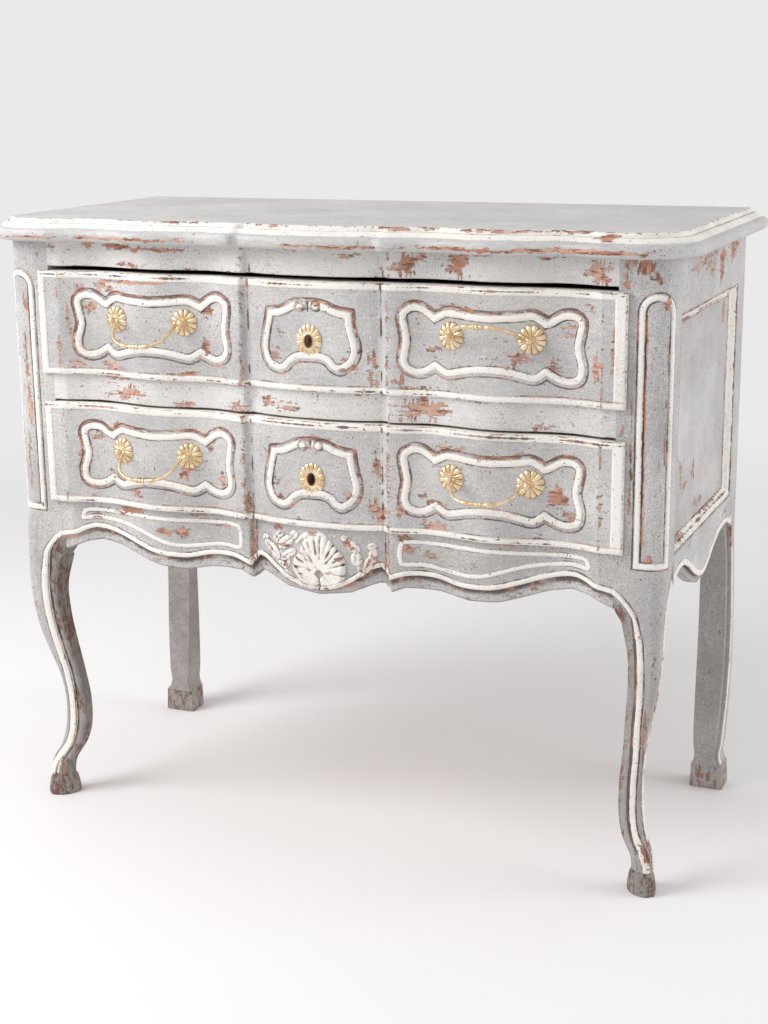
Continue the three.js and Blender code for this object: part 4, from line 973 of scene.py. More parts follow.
# Painted shade: shade=0.94 darkens the posts' grey. The shares below add grime and painted shade. The leg
# grows darker towards the floor below the knee, the right leg, further from the lamp, more than the left. The
# strips and faces inside the opening are darker too, and the hoofs most.
post_paint = paint("post_paint", "z", shade=0.94)
bead_set_in = {1: 3.4, -1: 0.0}
bead_widening = {1: 1.3, -1: 1.8}
strip_shows = {1: 10.0, -1: 4.5}
leg_grime_and_shade = {1: 0.34, -1: 0.16}
leg_grime_and_shade_top = 360
strip_grime_and_shade = {1: 0.24, -1: 0.0}
inside_grime_and_shade = {1: 0.0, -1: 0.1}
for hand, side in (("right", 1), ("left", -1)):
    bead_half = 3.6 + bead_widening[side] * leg_part
    set_off = bead_set_in[side] * leg_part * np.clip((Z - 55) / 30, 0, 1)
    bead_away = np.where(front_part, front_away - set_off, np.where(side_part, side_away, 99.0))
    relief = panel_carving + round_ridge(np.abs(bead_away - bead_half), bead_half, 2.0)
    relief += cut_groove(np.abs(bead_away - 2 * bead_half - 0.8), 1.6, 0.9)
    moved = post_rings.copy()
    moved[:, :, :2] += outward * (relief * fade)[:, :, None]
    points, faces = sections(np.concatenate([hoof_rings, moved]) * np.array([side, 1, 1]))
    seed = 70 + side
    rough = 3.0 * broken(Z, 6, seed) + 2.0 * broken(Z, 21, seed + 2)
    from_corner = np.abs(u_along - u_along[:, [strip_corner]])
    from_strip = from_corner - strip_shows[side]
    # The last of these lines is a dark line along the strip's step inside the leg: painted shade in the
    # recess.
    lines = np.minimum.reduce([
        np.abs(bead_away - 2 * bead_half - 0.6) + rough * 0.3 - 0.5 * leg_part * (side > 0),
        np.where(front_part & (set_off > 0.5), np.abs(bead_away + 2.6) * 0.7 + rough * 0.12 - 2.3, 99.0),
        np.abs(to_panel + 0.2) + rough * 0.15 - 0.4,
        np.abs(to_panel - 10.8) + rough * np.where(u_along < 53, 0.1, 0.4) - 0.3,
        np.where(inner_leg, np.abs(from_corner - 0.4) * 0.7 + rough * 0.25 - 0.7, 99.0),
    ])
    low_part = np.clip((60 - Z) * 0.02, 0, 0.5)
    bare = np.maximum.reduce([
        patch_mark(u_along, Z, post_patches[side]) * faces_out,
        np.clip(1.3 - np.abs(from_strip) * 0.3, 0, 1) * broken(Z, 26, seed + 4) * 0.8 * inner_leg,
        0.8 * broken(Z, 34, seed + 5) ** 1.5 * (from_corner > 10) * inner_leg,
        0.95 * broken(Z, 22, seed + 6) * (side_part & (bead_away < 10) & (Z < leg_grime_and_shade_top)), low_part * 0.6,
    ])
    cream_mark = np.maximum(bead_half - 0.3 - np.abs(bead_away - bead_half), 3.7 - np.abs(to_panel - 5.8))
    cream_mark[:, ring_count - 1] = np.where((Z[:, 0] < 430) & (side < 0), 2.0, -2.0)
    leg_grime_and_shade_share = leg_grime_and_shade[side] * np.clip((leg_grime_and_shade_top - Z) / 160, 0, 1) + 0.08 * (Z < 520)
    strip_grime_and_shade_share = np.clip(from_strip * 0.25, 0.08 + strip_grime_and_shade[side], 0.75) * (Z < knee_top)
    dirt = np.where(faces_out, np.maximum(low_part * 0.9, leg_grime_and_shade_share), strip_grime_and_shade_share + inside_grime_and_shade[side])
    worn = np.where(faces_out, np.where(bead_away < 0, 99, bead_away + 0.5), 2.2)
    grids = zip(mark_names, (cream_mark, lines, worn, bare, dirt), (-9, 99, 2.4, 0.5, 0.75))
    marks = {mark: with_hoof(grid, on_hoof) for mark, grid, on_hoof in grids}
    skin(f"front_post_{hand}", "carved", points, faces, post_paint, marks)


# ---- The front apron: a board glued between the posts and sawn to a scalloped lower edge with a
# cream bead along it and a plain strip below, a thin outlined field on each side, and the carved
# shell and leaves.
apron_top = 501.8
apron_line = [
    (0, 402), (13, 402.5), (30, 406.8), (50, 415.2), (70, 428), (84, 438), (92, 440.4), (97, 440.2),
    (109, 424.8), (109, 424.8), (130, 432.2), (150, 433.8), (180, 432.2), (210, 425.8), (240, 425.3),
    (270, 428.5), (300, 437), (340, 449.2), (372, 455), (391.6, 451.3), (405, 445), (419.6, 442),
    (431.7, 439.6),
]
strip_line = [
    (0, 393), (50, 399.9), (78, 412), (91, 416.3), (97, 416), (109, 404.7), (130, 413.1), (180, 411.5),
    (225, 404.7), (270, 407.8), (300, 416.3), (340, 429), (372, 434.9), (397, 430), (431.7, 416.3),
]
apron_edge = smooth_path(apron_line, closed=False, steps=6)
apron_back = frame_face + 28.0
field_line = smooth_path([
    (127, 478), (135, 483), (180, 482.5), (250, 482), (330, 482.5), (385, 483), (395, 478), (396, 470),
    (385, 471), (370, 472), (340, 469), (310, 464), (280, 455), (250, 446), (225, 443), (200, 445),
    (160, 450), (130, 450), (126, 457), (125, 467),
])


def bumps(x, z, leaves):
    """A carved leaf for each row: middle, half length, half width, lean, height. Also its vein."""
    height = np.zeros(x.shape)
    vein = np.full(x.shape, 99.0)
    for middle_x, middle_z, half_long, half_wide, lean, rise in leaves:
        turn = math.radians(lean)
        u = (x - middle_x) * math.cos(turn) + (z - middle_z) * math.sin(turn)
        v = (z - middle_z) * math.cos(turn) - (x - middle_x) * math.sin(turn)
        away = (np.abs(u) / half_long) ** 2.2 + (np.abs(v) / half_wide) ** 2
        crease = 0.5 * np.exp(-(v / (half_wide * 0.25)) ** 2)
        height = np.maximum(height, rise * np.sqrt(np.clip(1 - away, 0, 1)) * (1 - crease))
        vein = np.where(away < 0.6, np.minimum(vein, np.abs(v)), vein)
        vein = np.where(np.abs(away - 1.1) < 0.25, np.minimum(vein, 0.5), vein)
    return height, vein


leaves = [
    (61, 452.5, 10.5, 8.2, 95, 3.8), (80, 448, 11.5, 7.0, 62, 4.0), (84.5, 461, 8.5, 6.0, 80, 3.8),
    (83, 472, 7.0, 5.0, 20, 3.2), (56, 470.5, 13.0, 7.4, 142, 3.8), (46, 480, 8.0, 5.4, 140, 3.2),
    (68, 430, 8.0, 5.0, 60, 2.8), (-72, 455, 18.0, 8.0, 137, 4.0), (-83, 467, 9.0, 6.4, 110, 3.8),
    (-49, 468, 15.5, 8.2, 35, 4.0), (-35, 480, 8.0, 6.4, 50, 3.4), (-45, 450, 15.5, 6.2, 32, 3.4),
    (-49, 437, 9.5, 6.6, 60, 2.8), (-58, 479, 7.0, 5.4, 30, 3.2), (-64, 473, 8.0, 5.4, 60, 3.4),
]
stems = [
    ([(40, 408), (53, 412), (68.5, 423), (73, 438.5), (79, 446), (84, 454), (86, 463)], 3.0, 3.0),
    ([(66, 424), (66, 434), (63, 444)], 2.2, 2.4),
    ([(-61, 440), (-52, 428), (-38, 416), (-24, 407)], 3.0, 2.8),
    ([(-86, 436), (-72, 424), (-56, 418), (-38, 412)], 2.6, 2.6),
    ([(-66, 470), (-58, 455), (-55, 440), (-48, 426)], 2.0, 2.2),
    ([(-18, 479), (-10, 484.5), (0, 486.5), (9, 485), (15, 480)], 3.4, 3.2),
    ([(-30, 470), (-22, 479), (-14, 485)], 2.4, 2.6),
]
shell_outline = smooth_path([
    (3.8, 483), (14, 481), (22.3, 478), (28.5, 470), (35, 465), (38.7, 459), (43, 450), (45.2, 439),
    (44.4, 428), (42, 417), (33, 408), (22.3, 404.6), (11, 405), (5, 412), (0, 405), (-5, 402.5),
    (-14.6, 403.8), (-24, 411), (-29, 419), (-34.6, 426), (-37.2, 434), (-35, 446), (-29, 453),
    (-24.5, 461), (-18.7, 473), (-11.5, 480),
], steps=4)
shell_hinge = (5.0, 430.0)
flute_angles = [-5, 20, 34, 49, 61, 73, 86, 97, 111, 124, 139, 153, 172]
cleft = smooth_path([(5.5, 421), (6.5, 411), (4, 403), (-2, 395)], closed=False)


def shell_form(x, z):
    """The fan of the shell: flat ribs that spread from the hinge over two plain lobes."""
    dx, dz = x - shell_hinge[0], z - shell_hinge[1]
    rim = away_from(shell_outline, x, z)
    inside = inside_of(shell_outline, x, z)
    rim = np.where(inside, rim, -rim)
    radius = np.hypot(dx, dz)
    lean = np.degrees(np.arctan2(dz, dx))
    gaps = np.abs(lean[..., None] - np.array(flute_angles)).min(axis=-1)
    rim = rim - 1.6 * np.clip(1 - gaps / 5, 0, 1) * (dz > -6)
    out = radius / np.maximum(radius + rim, 1)
    height = 4.4 * np.sqrt(np.clip(rim / 5.0, 0, 1)) + 1.6 * np.clip(out, 0, 1) * (rim > 0)
    ray, stroke = np.full(x.shape, 99.0), np.full(x.shape, 99.0)
    for k, lean in enumerate(map(math.radians, flute_angles)):
        forward = dx * math.cos(lean) + dz * math.sin(lean)
        beside = np.abs(dz * math.cos(lean) - dx * math.sin(lean))
        start = 0.36 + 0.13 * ((k * 7) % 3)
        in_flute = (forward > 0) & (out > start)
        drawn = beside * 0.75 + 1.8 * broken(radius + 50 * k, 5, 64) - 0.8
        ray = np.where(in_flute, np.minimum(ray, beside), ray)
        stroke = np.where(in_flute, np.minimum(stroke, drawn), stroke)
    height += cut_groove(ray, 2.1, 2.0) * (rim > 1) + 0.9 * np.clip(gaps / 6, 0, 1) * np.clip(out, 0, 1)
    hollow = np.hypot((x - 6) / 6.2, (z - 426) / 5.6)
    height -= 3.6 * np.clip(1.25 - hollow, 0, 1)
    slit = away_from(cleft, x, z, closed=False)
    height += cut_groove(slit, 2.2, 3.0)
    line = np.where(inside, np.minimum(stroke, np.abs(rim + 0.3) + 1.2 * broken(dx - dz, 6, 65)), 99)
    line = np.minimum.reduce([line, slit, np.where(z > 424, np.abs(hollow - 1.05) * 6 + 0.2, 99)])
    return np.maximum(height, 0) * inside, line, rim, hollow


shares = np.array([0, 0.006, 0.02, 0.04, 0.06, 0.08] + spread([0.095, 1.0], 0.0155))
carving_half = 109.0
columns = both_ways(
    spread([*station_marks[:3], carving_half, station_marks[3]], 1.2)
    + spread([*station_marks[3:], rail_half], 3.0)[1:]
)
low = np.array([np.interp(abs(x), apron_edge[:, 0], apron_edge[:, 1]) for x in columns])
Z = low[:, None] + (apron_top - low[:, None]) * shares
X = np.repeat(columns[:, None], len(shares), axis=1)
edge_path = np.concatenate([apron_edge[::-1] * (-1, 1), apron_edge[1:]])
apron_patches = [
    (-305, 489, 22, 6, 1.1), (-330, 482, 14, 4, 1.0), (-250, 463, 14, 5, 1.0), (-222, 465, 12, 6, 1.0),
    (-372, 474, 9, 6, 1.1), (-60, 489, 9, 4, 1.0), (-106, 455, 3, 40, 0.9), (108, 455, 3, 40, 1.0),
    (135, 488, 10, 6, 1.0), (138, 472, 8, 6, 1.0), (170, 464, 12, 5, 0.8), (190, 447, 16, 3, 0.9),
    (300, 496, 40, 3, 0.8), (48, 474, 6, 4, 1.0), (92, 446, 5, 4, 1.0), (-190, 493, 20, 4, 0.8),
    (-49, 435, 4, 5, 1.1), (-75, 450, 4, 8, 0.6), (-45, 463, 6, 3, 0.9), (56, 469, 5, 3, 1.0),
    (79, 447, 3, 6, 0.9), (-150, 478, 14, 4, 0.7), (36, 452, 6, 3, 0.9), (-3, 487, 8, 2, 0.9),
    (18, 405, 6, 3, 0.9),
]
edge_away = away_from(edge_path, X, Z, closed=False)
field = away_from(field_line, np.abs(X), Z)
shell, shell_line, shell_rim, hollow = shell_form(X, Z)
leaf, vein = bumps(X, Z, leaves)
for corners, half, rise in stems:
    far = away_from(smooth_path(corners, closed=False), X, Z, closed=False)
    leaf = np.maximum(leaf, round_ridge(far, half, rise))
    vein = np.minimum(vein, np.abs(far - half - 0.5) + 0.3 * half)
leaf *= shell_rim < 0.5
carved = np.maximum(shell, leaf)
relief = round_ridge(np.abs(edge_away - 3.6), 3.6, 2.0) + cut_groove(np.abs(edge_away - 8.2), 1.4, 0.8)
relief += round_ridge(field, 3.0, 1.3) + cut_groove(np.abs(field - 4.0), 1.2, 0.5)
relief = np.maximum(relief, carved)
relief[:, 0] = 0
strip = np.interp(np.abs(columns), *np.array(strip_line).T)
lower = front_y(columns) + frame_face + strip_back
behind = [
    (apron_back, apron_top), (apron_back, strip), (lower + 2.5, strip), (lower + 0.6, strip + 1.6),
    (lower, strip + 3.5), (lower, low - 1.5), (lower - 1.2, low),
]
behind = np.stack([np.stack([columns, y + 0 * columns, z + 0 * columns], -1) for y, z in behind], 1)
front = np.stack([X, front_y(X) + frame_face - relief, Z], -1)
points, faces = sections(np.concatenate([front, behind], axis=1))
rough = 3 * broken(X + Z, 5, 61) + 2 * broken(X - Z, 19, 62)
cream_mark = np.maximum.reduce([
    3.5 - np.abs(edge_away - 3.5), 2.8 - field, np.where(hollow < 1.0, -2.0, carved * 1.5 - 1.0),
])
line_mark = np.minimum.reduce([
    np.abs(edge_away - 7.8) + rough * 0.25 - 0.2, np.abs(field - 3.9) + rough * 0.3, shell_line,
    np.where(leaf > 0.2, vein * 1.2 + rough * 0.12, vein * 1.5 + rough * 0.2), edge_away + rough * 0.4,
    np.abs(np.abs(X) - divider_x) * 0.6 + rough * 0.3 - 0.5,
])
worn = np.where(carved > 0.3, 0.5 + 3.2 * broken(X + Z, 4, 66), np.minimum(edge_away, apron_top - Z) + 0.8)
bare = patch_mark(X, Z, apron_patches) * np.where((cream_mark > 0) & (carved < 0.2), 0.5, 1.0)
# Grime and painted shade: the shell's hollow is darker, and the apron right of the ridge a little, further
# from the lamp. Behind, the apron's back and underside are darker and the step under the bead gets a dark
# line: painted shade.
dirt = np.where(hollow < 1.0, 0.35, 0.12 + 0.06 * (X > ridge_x))
marks = all_marks((cream_mark, line_mark, worn, bare, dirt), (
    [-9] * 7, [99, 30, 4, 0.8, 2.0, 0.2, 0.2], [99, 30, 2.0, 2.0, 4.0, 3.0, 1.5],
    [0, 0, 0.2, 0.3, 0.2, 0.2, 0.2], [0.5, 0.5, 0.4, 0.15, 0.0, 0.05, 0.1],
))
skin("front_apron", "carved", points, faces, paint("apron_paint", "x", 0.01), marks)


# ---- The sides: a top rail, a sunk panel with a broad cream bevel, and a scalloped lower rail
# with a cream bead, each glued between the corner posts.
side_front, side_rear = 56.3, 419.7
side_inner = 483.0
panel_bottom_z, panel_top_z = 487.0, 812.0
panel_sink = 11.0
side_rail_paint = paint("side_rail_paint", "y")
board_ys = spread([side_front - 0.25, side_rear + 0.25], 4)


def plain(Y, value):
    return np.full(Y.shape, float(value))


# Each board of the side: its name, places back and up, relief, finish, marks and worn patches.
low, high = 812.3, post_top
Y, Z = np.meshgrid(board_ys, spread([low, high], 3), indexing="ij")
side_boards = [("side_top_rail", Y, Z, plain(Y, 0), side_rail_paint, [
    plain(Y, -9), plain(Y, 99), np.minimum(Z - low, high - Z) + 1.5, plain(Y, 0.05),
], [
    (385, 874, 26, 16, 1.1), (300, 856, 16, 24, 0.9), (235, 862, 60, 18, 0.55), (160, 862, 40, 14, 0.5),
    (340, 862, 30, 14, 0.5),
])]

rim = [0, 1.5, 3, 5, 7, 9, 11, 13, 15, 17, 20]
panel_ys, panel_zs = (
    [start + r for r in rim] + spread([start + 23, end - 23], 3) + [end - r for r in reversed(rim)]
    for start, end in ((side_front, side_rear), (panel_bottom_z, panel_top_z))
)
Y, Z = np.meshgrid(panel_ys, panel_zs, indexing="ij")
into = np.minimum.reduce([Y - side_front, side_rear - Y, Z - panel_bottom_z, panel_top_z - Z])
at_front = Y - side_front <= into + 0.01
on_rear = side_rear - Y <= into + 0.01
on_top = panel_top_z - Z <= into + 0.01
rough = 3 * broken(Y + Z, 6, 91) + 2 * broken(Y - Z, 23, 92)
nicks = broken(Y + Z, 2.4, 94)
band = np.where(on_top, 9.0, 6.8)
edges = np.minimum.reduce([
    np.abs(into - band - 8.4) * 0.7 + rough * 0.2 + 1.6 * nicks - 0.9,
    np.abs(into - 2.0) * 0.8 + rough * 0.2 + 1.4 * nicks - 1.0,
    np.abs(into - np.where(on_rear, 5.0, 9.0)) + rough * 0.5 - 0.8,
])
bevel = glide(0, 1, np.clip((into - 3.0) / 12.0, 0, 1))
side_boards.append(("side_panel", Y, Z, -panel_sink * bevel, paint("side_paint", "z", grit=0.8), [
    np.where(at_front, -2.0, band - np.abs(into - 8.8) - 0.4 * rough - 2.4 * nicks),
    np.where(at_front, np.abs(into - 3) + rough * 0.6, edges),
    np.minimum(np.abs(into - 3.0), np.abs(into - 14.5)) + 0.6 + 2 * at_front,
    np.clip(0.25 - into * 0.004, 0.05, 1),
], [
    (100, 796, 40, 5, 0.8), (240, 800, 70, 4, 0.7), (372, 778, 14, 16, 0.9), (395, 800, 6, 10, 1.0),
    (150, 560, 20, 8, 0.8), (205, 570, 10, 16, 0.8), (125, 590, 10, 20, 0.6), (230, 520, 40, 8, 0.6),
    (400, 560, 4, 40, 0.9), (398, 660, 3, 40, 0.7), (300, 500, 70, 3, 0.8), (110, 498, 30, 4, 0.8),
]))

side_edge = smooth_path([
    (56.3, 447), (67.2, 453.2), (81.7, 457.1), (102, 459), (127.2, 455.2), (157, 442.2), (187.1, 426.8),
    (217, 414.8), (242, 411), (267, 417), (296.9, 430.2), (327, 442.2), (352.1, 448.9), (377.2, 450.8),
    (401.9, 448.9), (419.7, 442.7),
], closed=False, steps=6)
side_set_in = 6.0
low = np.interp(board_ys, side_edge[:, 0], side_edge[:, 1])[:, None]
shares = np.array([0, 0.02, 0.06, 0.11, 0.16, 0.21, 0.26, 0.34, 0.5, 0.75, 1])
Z = np.hstack([low + [-11, -11, -0.2, -0.2], low + (panel_bottom_z - 0.3 - low) * shares])
Y = np.repeat(np.array(board_ys)[:, None], Z.shape[1], axis=1)
away = away_from(side_edge, Y, Z, closed=False)
relief = round_ridge(np.abs(away - 4.2), 4.2, 1.6)
relief[:, :5] = [-side_set_in - 3, -side_set_in, -side_set_in, -1, 0]
cream_mark, line_mark, dirt = 8.2 - away, np.abs(away - 9.6) + 2.5 * broken(Y, 11, 93) - 0.2, plain(Y, 0)
# The set-in strip under the bead gets a dark line on its step and a darker share: painted shade under the
# bead.
cream_mark[:, :4], line_mark[:, :4], dirt[:, :4] = -9, [14, 8, 0.4, 0.4], 0.5
side_boards.append(("side_apron", Y, Z, relief, side_rail_paint, [
    cream_mark, line_mark, away + 0.8, dirt,
], [(150, 480, 20, 6, 0.5), (380, 470, 20, 5, 0.8)]))

for hand, side in (("right", 1), ("left", -1)):
    for node, Y, Z, relief, finish, (cream_mark, line_mark, worn, dirt), patches in side_boards:
        front = np.stack([side * (case_half + relief), Y, Z], axis=-1)
        inner = np.stack([plain(Y, side * side_inner), Y, Z], axis=-1)[:, [-1, 0]]
        points, faces = sections(np.concatenate([front, inner], axis=1))
        grids = (cream_mark, line_mark, worn, patch_mark(Y, Z, patches), dirt)
        marks = all_marks(grids, ([-9] * 2, [99] * 2, [99] * 2, [0] * 2, [0.3] * 2))
        skin(f"{node}_{hand}", "painted", points, faces, finish, marks)


# ---- The rear posts: flat sticks of wood with a straight leg, bowed a little outwards, narrowed at
# the ankle above a square foot, with a cream bead down the side's front edge. The sides and the
# back boards are glued to them.
rear_rows = np.array([
    (0, 0.93, 0.85, 0.5), (0.095, 0.93, 0.5, 0.3), (0.12, 0.84, -0.3, -0.4), (0.2, 0.78, 0, -0.2),
    (0.375, 0.62, 0.6, 0), (0.625, 0.46, 0.8, 0), (0.85, 0.45, 0.5, 0), (0.98, 0.48, 0.2, 0),
    (1.04, 0.56, 0, 0), (1.09, 0.74, 0, 0), (1.13, 1, 0, 0), (1.2, 1, 0, 0),
])
rear_flare = 6.0
rear_depth = 45.0
rear_inner = case_half - 44.0
rear_heights = [0, 1.5, 10, 20, 30, 38]
rear_heights += spread([39.5, 44, 48, 60, 80, 480], 8)
rear_heights += spread([480, post_top], 30)[1:]
foot_height = 38
rear_line, rear_rings = [], []
for z in rear_heights:
    share = min(z / knee_z, 1.2)
    foot = z <= foot_height
    if foot:
        depth, outwards, inwards = (np.interp(share, rear_rows[:, 0], rear_rows[:, k]) for k in (1, 2, 3))
    else:
        depth, outwards, inwards = soft_rows(rear_rows, share)
    chamfer = 1.5 if z == 0 else 0.0
    outer = case_half + rear_flare * outwards - chamfer
    inner = rear_inner - rear_flare * inwards + chamfer
    arris = case_back - rear_depth * min(depth, 1.0) + chamfer
    strip = 0.0 if foot else strip_width
    front = max(case_back - rear_depth, arris - strip)
    rear_line.append((arris, z))
    across = [(outer, case_back - (case_back - arris) * s) for s in (0, 0.3, 0.5, 0.62, 0.74, 0.86, 0.95, 1)]
    ring = [(inner, case_back)] + across + [
        (outer - strip_back * (strip > 0), arris), (outer - (strip_back + 1) * (strip > 0), front),
        ((outer + inner) / 2, front), (inner, front),
    ]
    rear_rings.append([(x, y, z) for x, y in ring])
rear_rings, rear_line = np.array(rear_rings), np.array(rear_line)
Y, Z = rear_rings[:, :, 1], rear_rings[:, :, 2]
outer_face = np.isin(np.arange(rear_rings.shape[1]), range(1, 9))
leg_face = outer_face & (Z > 40) & (Z < 462)
rear_away = away_from(rear_line[rear_line[:, 1] < 452], Y, Z, closed=False)
rear_away = np.where(leg_face, rear_away, 99.0)
rear_rings[:, :, 0] += round_ridge(np.abs(rear_away - 4.5), 4.5, 1.2)
foot_rows = Z < 40
rear_patches = [(438, 415, 12, 26, 1.0), (452, 340, 4, 60, 0.6), (446, 120, 4, 40, 0.7)]
for hand, side in (("right", 1), ("left", -1)):
    points, faces = sections(rear_rings * np.array([side, 1, 1]))
    # Painted shade with grime: the rear posts' faces other than the outer side are darker, the left post more
    # than the right and less above the leg; the outer side of the leg a little.
    inner_grime_and_shade = np.where(Z > 470, 0.3, 0.5 - 0.12 * side)
    marks = dict(zip(mark_names, (
        9 - rear_away, np.abs(rear_away - 9.5), np.where(foot_rows, 2.0, rear_away + 1.0),
        np.maximum(np.where(foot_rows, 0.42, 0.0), patch_mark(Y, Z, rear_patches) * outer_face),
        np.where(outer_face & ~foot_rows, 0.12, inner_grime_and_shade),
    )))
    finish = paint(f"rear_post_{hand}_paint", "z", grit=1.2)
    skin(f"rear_post_{hand}", "painted", points, faces, finish, marks)


# ---- The unpainted softwood inside and behind: back boards, runners and the drawer boxes, planed
# and left bare, darker with age at the back.
def softwood(name, grain, light, dark, fine=1.0):
    made = Finish(name)
    along = long_grained(made, grain, 0.05)
    bands = made.grains(along, 60 * fine, 3.0, 0.55)
    fibres = made.grains(along, 420 * fine, 4.0, 0.6)
    stains = made.grains(made.here(), 6, 3.0, 0.5)
    tone = bands * 0.55 + fibres * 0.25 + stains * 0.3
    colour = made.blend(dark, light, tone.steps(0.4, 0.68))
    return made.surface(colour, 0.62 + fibres * 0.1, height=bands * 0.4 + fibres * 0.6, depth=0.0005)


def finished(look, *words):
    """Gives a look to the CAD pieces that stay in view and have one of the words in their names."""
    for node in nodes:
        if any(word in node for word in words):
            nodes[node].data.materials.clear()
            nodes[node].data.materials.append(look)


pine_light, pine_dark = painted_as(196, 160, 118), painted_as(146, 106, 68)
aged_light, aged_dark = painted_as(168, 136, 102), painted_as(112, 84, 58)
finished(softwood("softwood_across", "x", pine_light, pine_dark), "_drawer_back", "_drawer_bottom")
finished(softwood("softwood_back_to_front", "y", pine_light, pine_dark), "runner", "_drawer_side_")
aged_softwood = softwood("softwood_back", "x", aged_light, aged_dark, fine=1.8)
finished(aged_softwood, "back_top", "back_panel", "back_bottom")


# ---- Locks and nuts: dull iron, screwed to the inside of the drawer fronts, with one sliding bolt.
iron = Finish("old_iron")
iron_tone = iron.grains(iron.here(), 140, 4.0, 0.6)
iron_colour = iron.blend(painted_as(62, 58, 54), painted_as(108, 96, 84), iron_tone.steps(0.4, 0.7))
iron_look = iron.surface(iron_colour, 0.5 + iron_tone * 0.25, 0.85, height=iron_tone, depth=0.0002)
finished(iron_look, "_lock_", "_nut_")


# ---- Handles: pale brass. Each post is a cast rosette of twelve petals with a ball in front and a
# screwed shank behind; the bail between two posts is a bent bar with turned beads at its middle.
brass = Finish("pale_brass")
brass_spot = brass.here()
brass_tone = brass.grains(brass_spot, 90, 3.0, 0.5)
# Painted shade: the brass turns dark brown and rougher where this mark is high, in the folds between petals,
# at the rosettes' back rim, at the necks between the bail's beads and in the keyhole's hole.
hollow_shade = brass.mark("hollow_shade")
shine = brass.blend(painted_as(222, 192, 150), painted_as(242, 222, 188), brass_tone.steps(0.4, 0.65))
brass_colour = brass.blend(shine, painted_as(128, 86, 48), hollow_shade.steps(0.05, 0.8))
brass_look = brass.surface(brass_colour, 0.26 + brass_tone * 0.12 + hollow_shade * 0.2, 0.8,
                           height=brass.grains(brass_spot, 300, 2.0, 0.5), depth=0.00008)

handle_x = 260.064
handle_rise = 85.5
post_spacing = 113.0
hub_reach = 13.0
rosette_petals = 12
rosette_radius = 20.0
shank_end = 37.5
inner_x, outer_x = handle_x - post_spacing / 2, handle_x + post_spacing / 2
pivot_y = float((front_y(inner_x) + front_y(outer_x)) / 2 - hub_reach)
rosette_rings = [
    (1.0, -0.9), (1.0, 0.2), (0.97, 1.6), (0.9, 2.9), (0.78, 4.0), (0.62, 4.6), (0.46, 4.7), (0.33, 4.3),
    (0.27, 4.2), (0.24, 5.6), (0.2, 6.6), (0.1, 7.2),
]
ball_and_shank = [
    (-5.6, 0.05), (-5.2, 2.2), (-4.0, 4.0), (-2.2, 5.2), (0.0, 5.6), (2.2, 5.2), (4.0, 4.0), (5.4, 3.0),
    (8.0, 2.8), (10.0, 2.5),
]


def petalled(rows, petals, around, folded_from, fold, notch, swell, sink, lifted_from):
    """Rings (across, forward, up) of a cast disc with folds between its petals, and the folds'
    depth. Rows hold the size of each ring and how far forward it lies."""
    angle = np.arange(around) * 2 * np.pi / around
    petal = np.abs(np.sin(petals * angle / 2))
    rings, deeps = [], []
    for size, forward in rows:
        outer = min(1.0, max(0.0, (size - folded_from) / fold))
        radius = size * (1 - notch * (1 - petal ** 0.45) * outer)
        lift = forward + (swell * petal ** 0.6 - sink) * outer * (forward > lifted_from)
        rings.append(np.stack([radius * np.cos(angle), lift, radius * np.sin(angle)], axis=-1))
        deeps.append(np.maximum(0, 1 - petal * 4) * outer)
    return np.array(rings), np.array(deeps)


def rosette(x, z):
    """Rings of a rosette, from its back to its middle, turned to lie on the curved face."""
    rings, deeps = petalled(rosette_rings, rosette_petals, 144, 0.25, 0.3, 0.09, 1.5, 1.3, 0)
    # The two back rings are darker: painted shade where the rosette meets the wood.
    deeps[:2] = np.minimum(1, deeps[:2] + 0.4)
    turn = math.atan((front_y(x + 1) - front_y(x - 1)) / 2)
    across, back, up = rosette_radius * rings[..., 0], -rings[..., 1], rosette_radius * rings[..., 2]
    return np.stack([
        x + across * math.cos(turn) - back * math.sin(turn),
        front_y(x) + across * math.sin(turn) + back * math.cos(turn), z + up,
    ], axis=-1), deeps


def turned(profile, sides):
    """Rings of a round bar as (along, one way, other way), from places along it and radii."""
    angle = np.arange(sides) * 2 * np.pi / sides
    return np.array([
        np.stack([np.full(sides, along), radius * np.cos(angle), radius * np.sin(angle)], axis=-1)
        for along, radius in profile
    ])


def joined(parts):
    """Several closed shapes as the points, faces and marks of one piece."""
    points, faces, deeps = [], [], []
    for rings, deep_rings in parts:
        part_points, part_faces = sections(rings)
        start = sum(len(p) for p in points)
        points.append(part_points)
        faces += [tuple(i + start for i in face) for face in part_faces]
        deeps.append(np.broadcast_to(deep_rings, np.shape(rings)[:2]).ravel())
    return np.concatenate(points), faces, {"hollow_shade": np.concatenate(deeps)}


bail_drop = 48.0
bail_half = post_spacing / 2 - 8.6
bail_squareness = 2.6
bar_radius = 2.4
bar_sides = 16
turned_beads = [
    (0, 3.6), (1.2, 3.6), (2.2, 3.4), (2.9, 2.9), (3.6, 3.6), (4.4, 3.6), (5.6, 3.6), (6.5, 3.6), (7.2, 2.6),
    (8.4, 2.1), (10.6, 2.1), (12.0, 2.5), (14.0, 3.3), (16.5, 3.6), (19.0, 3.6), (21.5, 3.5), (23.5, 2.9),
    (25.0, 2.5), (26.5, 2.4),
]
beads_end = turned_beads[-1][0]
bail_end = [(-3.0, 0.3), (-2.6, 1.6), (-1.6, 2.5), (0, 3.0), (1.6, 2.5), (2.6, 1.7), (8.4, 1.6)]


